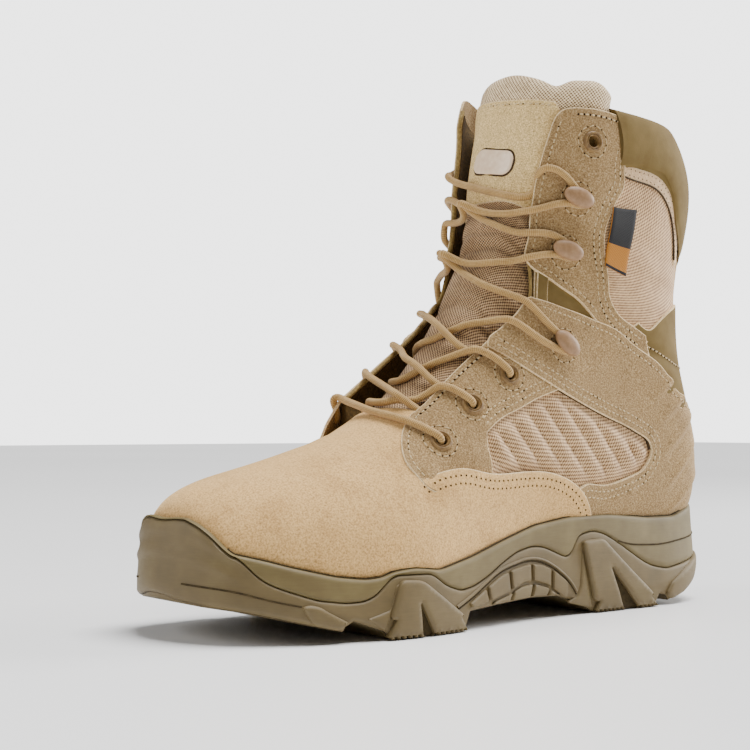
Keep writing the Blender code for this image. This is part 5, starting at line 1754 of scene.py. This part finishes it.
def lace_rim(first, second):
    """Points of a lace turning over the medial flap's edge, from tongue to outside."""
    made = []
    for share, inward, height in ((0, .012, 1.8), (.4, .0, 3.0), (1, -.018, 3.2)):
        station = first + (second - first) * share
        edge = float(curved_edge(max(station, 7.0)))
        made.append(on_upper(np.array([LAST.flat(station, inward - edge)]), height)[0])
    return made


def lace_place(station, fraction, height=None):
    """Point of a lace's middle, at that height over the last or lying on what is there."""
    flat = np.array([LAST.flat(station, fraction)])
    radius = chosen("lace_radius")
    if height is not None:
        return on_last(flat, height)[0]
    flap_from = .15 if station <= 7.0 else float(curved_edge(station)) - .012
    if fraction > flap_from:
        return on_upper(flat, radius + 1.1)[0]
    if station <= 7.0:
        return on_last(flat, radius + .2)[0]
    bulge = float(tongue_face(np.array([station]), np.array([fraction]))[0])
    return on_last(flat, radius + bulge - 3.0)[0]


def lace_ground():
    """Search tree of the faces that the laces lie on: the tongue and both flaps."""
    stations, around = np.meshgrid(np.arange(6.0, 18.6, .1), np.arange(-.45, .451, .01),
                                   indexing="ij")
    s, w = stations.ravel(), around.ravel()
    flat = LAST.flat(s, w)
    edge = curved_edge(s)
    flap = (np.abs(w) > edge) | (s < 7.0)
    face = np.where(flap[:, None], on_upper(flat, np.full(len(s), 1.0)),
                    on_tongue(flat, 0.0))
    vamp = s < 7.0
    face[vamp] = on_last(flat[vamp], .2)
    return BVHTree.FromPolygons(face.tolist(), grid_faces(*stations.shape))


def lace_paths():
    """Centre lines of the laces, drawn taut over the flaps and eased apart where they cross."""
    radius = chosen("lace_radius")
    paths, anchors, hidden = [], [], []
    for route in LACES:
        points, fixed, sunk = [], [], []
        for n, item in enumerate(route):
            if item[0] == "rim":
                made = lace_rim(*item[1:])
                # towards the tongue the lace turns back over the edge the other way
                made = made[::-1] if route[n - 1][0] == "hook" else made
            elif isinstance(item[0], str):
                made = lace_stop(*item, before=points)
                fixed += made
            else:
                made = [lace_place(*item)]
            if item[0] == "in" or len(item) == 3 and item[2] < 0 and not isinstance(item[0], str):
                sunk += made
            points += made
        points = np.array(points)
        gaps = np.linalg.norm(np.diff(points, axis=0), axis=1).clip(.3)
        knots = np.concatenate([[0], np.cumsum(gaps ** .6)])
        fine = natural_spline(knots, points, np.linspace(0, knots[-1], 14 * len(points)))
        paths.append(resample(fine, 1.3))
        anchors.append(np.array(fixed))
        hidden.append(np.array(sunk or [(0.0, 0.0, 0.0)]))
    ground, apart = lace_ground(), 2 * radius + .05
    free = [np.array([soft(np.linalg.norm(held - place, axis=1).min(), 1.0, 6.0) for place in path])
            for path, held in zip(paths, anchors)]
    shown = [np.array([soft(np.linalg.norm(low - place, axis=1).min(), 8.0, 12.0) for place in path])
             for path, low in zip(paths, hidden)]
    for turn in range(24):
        for n, path in enumerate(paths):
            for _ in range(2 if turn < 18 else 1):
                pull = np.zeros_like(path)
                pull[1:-1] = .5 * (path[:-2] + path[2:]) - path[1:-1]
                path += .5 * pull * free[n][:, None]
            for i, place in enumerate(path):
                near, normal, *_ = ground.find_nearest(Vector(place), 8.0)
                if near is None or free[n][i] < .05:
                    continue
                lift = radius - (place - np.array(near)) @ np.array(normal)
                if lift > 0:
                    path[i] += np.array(normal) * min(lift, 1.0) * free[n][i] * shown[n][i]
        every = np.concatenate(paths)
        loose = np.concatenate([a * b for a, b in zip(free, shown)])
        owner = np.concatenate([np.full(len(p), i) for i, p in enumerate(paths)])
        order = np.concatenate([np.arange(len(p)) for p in paths])
        tree = KDTree(len(every))
        for i, place in enumerate(every):
            tree.insert(place, i)
        tree.balance()
        push = np.zeros_like(every)
        for i, place in enumerate(every):
            for _, k, away in tree.find_range(place, apart):
                if k <= i or (owner[k] == owner[i] and abs(order[k] - order[i]) < 9):
                    continue
                if loose[i] < .3 or loose[k] < .3:
                    continue
                out = np.array([0, -.83, .55]) if place[2] < 200 else np.array([0, -.97, .25])
                lift = 1 if (every[k] - place) @ out > 0 else -1
                move = out * lift * (apart - away) * .5
                push[k] += move * (1.0 if lift > 0 else .1)
                push[i] -= move * (1.0 if lift < 0 else .1)
        size = np.linalg.norm(push, axis=1, keepdims=True)
        push *= np.minimum(1, 1.2 / size.clip(.01)) * loose[:, None]
        start = 0
        for path in paths:
            path += push[start:start + len(path)]
            start += len(path)
    return [resample(p, 1.1) for p in paths]


def build_lace_mesh():
    """All seven runs of the lace, smoothed and swept round."""
    pile = Pile()
    for path in lace_paths():
        for _ in range(3):
            path[1:-1] = .25 * path[:-2] + .5 * path[1:-1] + .25 * path[2:]
        points, faces, cloth = tube(path, chosen("lace_radius"), 14)
        pile.add(points, faces, cloth=cloth)
    return pile


# ---------------------------------------------------------------- sole details
FOREFOOT_PLATE = [(-72, .1), (-71, 8), (-64.5, 23.8), (-53.5, 23.2), (-28.5, 6), (-27.6, .1)]
FOREFOOT_FORK = [(-47.5, .1), (-55.5, 14.7), (-54.5, .1)]
HEEL_PLATE = [(60.5, .1), (60, 5), (53.5, 33.5), (68.5, 34.2), (102.5, 5), (104.5, .1)]
HEEL_FORK = [(91, .1), (72.5, 21), (80, .1)]
ARCH_LINE = [(-33, 10.4), (-24.2, 14), (-13.5, 19.2), (-2.7, 24), (6.9, 26.2), (17.6, 27.6),
             (25.5, 26.6), (33.3, 23.6), (40.8, 19), (46, 14.4), (48.8, 10.6)]
ARCH_MIDDLE = [(-24, 8.5), (-13, 10.4), (1.7, 13.4), (11.5, 16.5), (19.6, 16.8), (28.6, 14.5),
               (36.3, 10.4), (44, 6)]
FLANKS = [[(-64.4, 22.6), (-66.5, 21.6), (-70, 12), (-81, 9), (-76.5, 6), (-72.3, 3.2)],
          [(54.2, 31), (59.4, 2), (43, 5.8), (48.8, 8.4), (51.6, 13)]]
LUGS = [[(-108, 15), (-105, 15.8), (-101, 15), (-97, 12.4), (-88.4, 7.8), (-93, 5.2), (-98, 6.2),
         (-103.6, 7.8)],
        [(111.5, 5.2), (115.5, 2.3), (126, 5), (138, 10.4), (150, 20.2), (151, 23.5), (137, 19.6),
         (127, 15.8), (116, 10.5)]]
MOULD_LINES = [[(80.5, 32.2), (87.8, 30.5), (99.2, 29.5), (112.5, 29.2), (124, 30), (139.7, 31.5),
                (152, 33.5)],
               [(-142, 23.5), (-136.8, 22.5), (-128.8, 20.8), (-119.8, 18), (-108, 15.2)]]


def serrated(start, end, pitch=2.6, depth=1.1):
    """Toothed stretch of a plate's lower edge."""
    count = max(2, int(abs(end - start) / pitch))
    step = (end - start) / count
    return [(start + (k + share) * step, high) for k in range(count)
            for share, high in ((0, .1), (.45, .1), (.55, depth), (.95, depth))]


def rounded(points, radius):
    """Outline with each corner cut back and rounded."""
    points = np.array(points, float)
    made = []
    for before, here, after in zip(np.roll(points, 1, axis=0), points,
                                   np.roll(points, -1, axis=0)):
        a, b = here - before, after - here
        la, lb = np.linalg.norm(a), np.linalg.norm(b)
        r = min(radius, la * .4, lb * .4)
        if abs(np.cross(a / la, b / lb)) < .2 or r < .4:
            made.append(here)
            continue
        p, q = here - a / la * r, here + b / lb * r
        made += [(1 - t) ** 2 * p + 2 * t * (1 - t) * here + t * t * q
                 for t in (0, .25, .5, .75, 1)]
    return np.array(made)


def wall_plate(points, side, top, thick, rim=1.4, drop=1.2, step=1.5):
    """Raised plate on the sole's wall, each point of its outline a corner."""
    runs = [(f"s{i}", [place]) for i, place in enumerate(SOLE.flat(points, side))]
    return Panel(on_wall, runs, top=top, thick=thick, rim=rim, step=step, drop=drop)


def gathered(panels):
    """Pile of the panels' meshes."""
    pile = Pile()
    for panel in panels:
        points, faces, _, cloth = panel.mesh()
        pile.add(points, faces, cloth=cloth)
    return pile


def sole_plates(side):
    """Plates of the forefoot and the heel, toothed below and split by a fork's slot."""
    made = []
    for plate, fork in ((FOREFOOT_PLATE, FOREFOOT_FORK), (HEEL_PLATE, HEEL_FORK)):
        whole = (rounded(plate[1:-1], 3.0).tolist() + serrated(plate[-1][0], fork[0][0])
                 + rounded(fork, 2.0).tolist() + serrated(fork[2][0], plate[0][0]))
        made.append(wall_plate(whole, side, 2.2, 3.4))
    return made


def arch_scales(side):
    """Upright scales inside the arch's frame, in two rows."""
    made = []
    for edges, upper in (((-26, -13.5, 2.5, 18.1, 32, 43.5), True),
                         ((-9, 4.5, 19, 30.5, 39), False)):
        for low_y, high_y in zip(edges[:-1], edges[1:]):
            ys = np.linspace(low_y + .8, high_y - .8, 6)
            middle, bottom = along(ARCH_MIDDLE, ys), sole_bottom(ys)
            if upper:
                high, low = along(ARCH_LINE, ys) - 2.4, np.maximum(middle, bottom) + .7
            else:
                high, low = middle - .7, bottom + .9
            if (high - low).max() < 2.2:
                continue
            lean = -1.2 * (ys - 18) / 30 if upper else -2.0
            loop = np.concatenate([np.stack([ys, np.maximum(high, low + .5)], axis=1),
                                   np.stack([ys + lean, low], axis=1)[::-1]])
            made.append(wall_plate(rounded(loop, 1.3), side, 1.5, 2.2, rim=.9, drop=1.1, step=1.3))
    return made


def wall_bead(pile, points, side, offset, radius):
    """Round bead along a line of the sole's wall."""
    bead(pile, on_wall, SOLE.flat(points, side), offset, radius)


def weld(made):
    """Joins the points of an object's mesh that share a place."""
    work = bmesh.new()
    work.from_mesh(made.data)
    bmesh.ops.remove_doubles(work, verts=work.verts, dist=1e-6)
    work.to_mesh(made.data)
    work.free()


def build_insole_mesh():
    """Foam footbed with a raised rim round its heel."""
    stations, t = np.linspace(2.2, 12.9, 60), np.linspace(-1, 1, 33)
    sheets = [on_last(LAST.flat(s, 1 + t * (.22 + .06 * soft(s, 9, 12.5))), level - cup)
              for level, cup in ((-6.6, t ** 6), (-3.2, 0 * t)) for s in stations]
    return Pile().add(np.concatenate(sheets), sheet_faces(len(stations), len(t), flip=True))


# ---------------------------------------------------------------- operators
class BootSettings(bpy.types.PropertyGroup):
    """Sizes and colours that a user would change."""
    stitch_pitch: bpy.props.FloatProperty(
        name="Stitch pitch", description="Spacing of the stitches", default=.0029, min=.001,
        unit="LENGTH")
    lace_radius: bpy.props.FloatProperty(
        name="Lace radius", description="Radius of the round lace", default=.00172, min=.001,
        unit="LENGTH")
    floor_colour: bpy.props.FloatVectorProperty(
        name="Floor", description="Colour of the floor", subtype="COLOR", size=4,
        default=linear("#F5F5F5"), min=0, max=1)
    key_power: bpy.props.FloatProperty(
        name="Key light", description="Power of the main light", default=14.0, unit="POWER")


def materials():
    """Finishes by their short names, made once."""
    if not FINISH:
        FINISH.update(make_materials())
    return FINISH


def put(panel, name, face, slot):
    """Panel as a piece with its face and cut edge finishes."""
    m = materials()
    points, faces, marks, cloth = panel.mesh()
    return add_piece(name, points, faces, [m[face], m["edge"]], marks, cloth, slot)


class BOOT_OT_sole(bpy.types.Operator):
    """Rubber outsole, midsole, footbed and the plates of the sole's wall"""
    bl_idname = "boot.sole"
    bl_label = "Sole"

    def execute(self, context):
        m = materials()
        for name, pile in (("outsole", build_outsole_wall()), ("midsole", build_midsole_wall())):
            weld(pile.make(f"{name}_rubber_shell", [m[name]], slot=f"{name}_rubber",
                           replaces=(name,), sharp=35))
        for side, label in SIDES:
            plates = [wall_plate(rounded(lug, 1.6), side, 1.5, 2.2) for lug in LUGS]
            plates += [wall_plate(rounded(flank, 1.2), side, .7, 1.6) for flank in FLANKS]
            scales = gathered(plates + arch_scales(side))
            wall_bead(scales, ARCH_LINE, side, .1, .7)
            # dark patches in the forks' slots and dark beads below the arch's ridge, along the mould
            # lines and in the joint of the midsole with the upper: painted shade
            lines = gathered([wall_plate(fork, side, .12, .6, rim=.1)
                              for fork in (FOREFOOT_FORK, HEEL_FORK)])
            for line in MOULD_LINES + [np.array(ARCH_LINE) - [0, 1.3]]:
                wall_bead(lines, line, side, 0, .4)
            ys = np.linspace(-133, 150, 240)
            wall_bead(lines, np.column_stack([ys, along(BORDER, ys) + .15]), side, -2.0, .42)
            for pile, name, face in ((gathered(sole_plates(side)), "sole_plates", "outsole"),
                                     (scales, "arch_scales", "outsole"),
                                     (lines, "mould_line_shades", "gap")):
                pile.make(f"{name}_{label}", [m[face]], slot="outsole_rubber", sharp=35)
        build_insole_mesh().make("footbed", [m["foam"]], slot="insole_foam",
                                 replaces=("insole",))
        return {"FINISHED"}


class BOOT_OT_upper(bpy.types.Operator):
    """Suede, nylon and olive panels of the upper with their seams"""
    bl_idname = "boot.upper"
    bl_label = "Upper"

    def execute(self, context):
        m = materials()
        build_lining_mesh().make("upper_lining", [m["lining"]], slot="collar_lining",
                                 replaces=("upper",))
        vamp = vamp_panel()
        put(vamp, "vamp", "vamp", "suede")
        for side, label in SIDES:
            for gap in (3.2, 6.6):
                sew(vamp, vamp.row(f"wing_{label[0]}", gap, 8, 13), thread=False, hole=.5)
            stay, strap, flap = eyestay_panel(side), strap_panel(side), flap_panel(side)
            for panel, word in ((stay, "eyestay"), (strap, "heel_strap"), (flap, "flap")):
                put(panel, f"{word}_{label}", "suede", "suede")
            sew_rows(stay, ("window", SEAM, 2, 2), ("front", SEAM[:1], 1, 0),
                     ("nose", SEAM[:1], 0, 0))
            sew_rows(strap, ("low", SEAM, 3, 3), ("top", EDGE_SEAM, 4, 4))
            sew_rows(flap, ("rear", SEAM, 2, 1), ("front", EDGE_SEAM, 1, 0),
                     ("tip", EDGE_SEAM, 0, 2), ("top", EDGE_SEAM, 1, 1))
            for (station, fraction), panel in zip(EYELET_PLACES, (stay, stay, stay, flap)):
                ring_of_holes(panel, LAST.flat(station, fraction * side), 7.6, 13)
            for (station, fraction), panel in zip(HOOK_PLACES, (strap, flap, flap)):
                ring_of_holes(panel, LAST.flat(station, fraction * side), 8.0, 14)
            put(window_panel(side), f"window_{label}", "window", "tongue_nylon")
            put(shaft_panel(side), f"shaft_nylon_{label}", "shaft", "tongue_nylon")
            pad = heel_pad_panel(side)
            for panel, word in ((pad, "heel_pad"), (gusset_panel(side), "gusset"),
                                (gusset_loop_panel(side), "gusset_loop")):
                put(panel, f"{word}_{label}", "olive", "collar_lining")
            sew(pad, places([(94, 127.5), (104, 124.5), (114, 121), (124, 118), (136, 116)], side))
            pile = Pile()
            for panel, word, inner in zip(tape_panels(side), ("top", "low"), (side, -side)):
                put(panel, f"tape_{word}_{label}", "tape", "suede")
                for run in ("left", "right"):
                    sew(panel, panel.row(run, 1.6, 1, 1), thread=False, hole=.36)
                line = panel.row(TAPE_INNER[inner], -.25, 0, 2)
                bead(pile, on_upper, line[::3], -.1, .5)
            # painted shadow: dark beads under the suede's cut edge round the window, where the edge
            # stands over the nylon
            for line in (STRAP_LOW[2:9], WINDOW_TOP):
                bead(pile, on_upper, places(line, side) + [0, -.7 * side], -.35, .8)
            # this piece holds the tapes' dark piping and the painted shadow round the window
            pile.make(f"piping_{label}", [m["piping_and_shade"]], slot="suede")
            pile = Pile()
            behind, radius = (-.3, 1.15) if side == MEDIAL else (1.6, .8)
            bead(pile, on_upper, free_edge(18.35, 7.15, side, behind), -1.1, radius)
            pile.make(f"binding_{label}", [m["binding"]], slot="collar_lining")
        put(back_strip_panel(), "back_strip", "olive", "collar_lining")
        return {"FINISHED"}


class BOOT_OT_collar(bpy.types.Operator):
    """Padded olive collar"""
    bl_idname = "boot.collar"
    bl_label = "Collar"

    def execute(self, context):
        m = materials()
        made = build_collar_mesh().make("padded_collar", [m["olive"]], slot="collar_lining",
                                        replaces=("collar",))
        return {"FINISHED"}


class BOOT_OT_tongue(bpy.types.Operator):
    """Padded nylon tongue with its suede facing and plain plate"""
    bl_idname = "boot.tongue"
    bl_label = "Tongue"

    def execute(self, context):
        m = materials()
        made = build_tongue_mesh().make("padded_tongue", [m["tongue"], m["lobe"]],
                                        slot="tongue_nylon", replaces=("tongue",))
        # faces high on the tongue take the paler nylon: painted light on its top
        for face in made.data.polygons:
            face.material_index = int(face.center.z > LIT_TOP_LOW * MM)
        panel = tongue_suede_panel()
        put(panel, "tongue_facing", "tongue_suede", "suede")
        sew_rows(panel, ("top", (2.2,), 1, 1))
        build_badge_mesh().make("plain_plate", [m["plate"], m["piping_and_shade"]], slot="painted_plate",
                                replaces=("tongue_plate",), sharp=60)
        return {"FINISHED"}


class BOOT_OT_tab(bpy.types.Operator):
    """Plain woven side tab in two colours"""
    bl_idname = "boot.tab"
    bl_label = "Side tab"

    def execute(self, context):
        m = materials()
        build_tab_mesh().make("woven_side_tab", [m["tab_ochre"], m["tab_dark"]],
                              slot="woven_tab", replaces=("side_tab",))
        return {"FINISHED"}


class BOOT_OT_hardware(bpy.types.Operator):
    """Painted eyelets and speed hooks"""
    bl_idname = "boot.hardware"
    bl_label = "Eyelets and hooks"

    def execute(self, context):
        m = materials()
        for side, label in SIDES:
            for number, place in enumerate(EYELET_PLACES, 1):
                build_eyelet_mesh(side, *place).make(
                    f"ring_{label}_{number}", [m["ring"]], slot="painted_brass",
                    replaces=(f"eyelet_{label}_{number}",))
            for number, place in enumerate(HOOK_PLACES, 1):
                lean = np.radians(HOOK_LEAN[number - 1])
                build_hook_mesh(side, *place, lean).make(
                    f"speed_hook_{label}_{number}", [m["hardware"]], slot="painted_brass",
                    replaces=(f"hook_{label}_{number}",))
        return {"FINISHED"}


class BOOT_OT_laces(bpy.types.Operator):
    """Round braided laces crossing the tongue"""
    bl_idname = "boot.laces"
    bl_label = "Laces"

    def execute(self, context):
        m = materials()
        build_lace_mesh().make("braided_lace", [m["lace"]], slot="lace_cord",
                               replaces=("laces",))
        return {"FINISHED"}


class BOOT_OT_needlework(bpy.types.Operator):
    """Stitches and needle holes of every seam"""
    bl_idname = "boot.needlework"
    bl_label = "Needlework"

    def execute(self, context):
        m = materials()
        # needle holes are flat dark discs: painted shade of the holes
        for key, name in (("thread", "stitches"), ("hole", "needle_hole_shades")):
            SEWN[key].make(name, [m[key]], slot="suede")
        return {"FINISHED"}


FLOOR_SIZE = 12.0              # metres
FLOOR_DROP = .0004             # the floor lies this far under the sole
FLOOR_DULLER = .9543           # its darker clouds, as a share of its colour
ROOM_SEEN, ROOM_LIGHT = .13, 3.4       # the white room's strength to the camera, to surfaces
OVERHEAD = 6.8                 # broad overhead light, watts a square metre
LENS = 71.04                   # mm, on a 36 mm wide sensor
EYE = (.5316, -.4447, .0867)   # the camera's place
HEADING, CLIMB = np.radians(53.0), np.radians(2.0)      # where it looks


def staged(name, data, place):
    """Light, camera or floor, linked at its place."""
    made = bpy.data.objects.new(name, data)
    made.location = place
    bpy.context.scene.collection.objects.link(made)
    return made


def aimed(made, ahead):
    """Turns a light or a camera to look that way."""
    made.rotation_mode = "QUATERNION"
    made.rotation_quaternion = ahead.to_track_quat("-Z", "Y")


def area_light(name, place, target, size, power):
    """Rectangular soft light aimed at its target."""
    data = bpy.data.lights.new(name, "AREA")
    data.shape = "RECTANGLE"
    data.size, data.size_y = size
    data.energy = power
    aimed(staged(name, data, place), target - place)


def make_floor(colour):
    """Painted studio floor: smooth satin lacquer, a faint mirror image near the sole."""
    made, tree, shader = finish("floor_lacquer", .32, specular=.35)
    cloud = add(tree, "TexNoise", Vector=add(tree, "TexCoord", out="Object"), Scale=1 / 1.2,
                Detail=2.0, Roughness=.5)
    duller = [part * FLOOR_DULLER for part in colour[:3]] + [1.0]
    dress(tree, shader, add(tree, "ValToRGB", Fac=cloud, stops=[(.3, duller), (.7, colour)]))
    reach = FLOOR_SIZE / 2
    mesh = bpy.data.meshes.new("floor")
    mesh.from_pydata([(-reach, -reach, 0), (reach, -reach, 0), (reach, reach, 0),
                      (-reach, reach, 0)], [], [(0, 1, 2, 3)])
    mesh.materials.append(made)
    floor = staged("floor", mesh, (0, 0, -FLOOR_DROP))


def make_room():
    """White room, dimmer to the camera than to the surfaces it lights."""
    world = bpy.data.worlds.new("white_room")
    world.use_nodes = True
    tree = world.node_tree
    tree.nodes["Background"].inputs["Color"].default_value = (1, 1, 1, 1)
    tree.nodes["Background"].inputs["Strength"].default_value = ROOM_SEEN
    bright = add(tree, "Background", Color=(1, 1, 1, 1), Strength=ROOM_LIGHT)
    seen = add(tree, "LightPath", out="Is Camera Ray")
    mixed = add(tree, "MixShader", _0=seen, _1=tree.nodes["Background"].outputs[0], _2=bright)
    tree.links.new(mixed, tree.nodes["World Output"].inputs[0])
    bpy.context.scene.world = world


class BOOT_OT_stage(bpy.types.Operator):
    """Pale floor, soft lights and the camera"""
    bl_idname = "boot.stage"
    bl_label = "Stage"

    def execute(self, context):
        settings = context.scene.boot
        make_floor(settings.floor_colour)
        make_room()
        low, high = (Vector(corner) for corner in CAD_BOX)
        middle, power = (low + high) / 2, settings.key_power
        area_light("left_soft", middle + Vector((-.6, -1.15, .6)), middle, (.8, .8), power * .75)
        area_light("right_soft", middle + Vector((.3, 1.3, .4)), middle, (.6, .6), power * 1.5)
        overhead = bpy.data.lights.new("overhead_soft", "SUN")
        overhead.energy = OVERHEAD
        overhead.angle = np.radians(40)
        lamp = staged("overhead_soft", overhead, middle + Vector((0, 0, 2)))
        lamp.rotation_euler = (np.radians(-14), np.radians(8), 0)
        data = bpy.data.cameras.new("camera")
        data.lens, data.sensor_width = LENS, 36.0
        camera = staged("camera", data, EYE)
        aimed(camera, Vector((-np.sin(HEADING) * np.cos(CLIMB), np.cos(HEADING) * np.cos(CLIMB),
                              np.sin(CLIMB))))
        context.scene.camera = camera
        return {"FINISHED"}


OPERATORS = (BOOT_OT_stage, BOOT_OT_sole, BOOT_OT_upper, BOOT_OT_collar, BOOT_OT_tongue,
             BOOT_OT_tab, BOOT_OT_hardware, BOOT_OT_laces, BOOT_OT_needlework)


class BOOT_PT_panel(bpy.types.Panel):
    """Boot's pieces in the sidebar"""
    bl_idname = "BOOT_PT_panel"
    bl_label = "Desert boot"
    bl_space_type = "VIEW_3D"
    bl_region_type = "UI"
    bl_category = "Boot"

    def draw(self, context):
        column = self.layout.column()
        for name in ("stitch_pitch", "lace_radius", "floor_colour", "key_power"):
            column.prop(context.scene.boot, name)
        for kind in OPERATORS:
            column.operator(kind.bl_idname)


CLASSES = (BootSettings,) + OPERATORS + (BOOT_PT_panel,)


def register():
    for kind in CLASSES:
        bpy.utils.register_class(kind)
    bpy.types.Scene.boot = bpy.props.PointerProperty(type=BootSettings)


def unregister():
    del bpy.types.Scene.boot
    for kind in reversed(CLASSES):
        bpy.utils.unregister_class(kind)


def main():
    register()
    for kind in OPERATORS:
        family, name = kind.bl_idname.split(".")
        getattr(getattr(bpy.ops, family), name)()


if __name__ == "__main__":
    main()
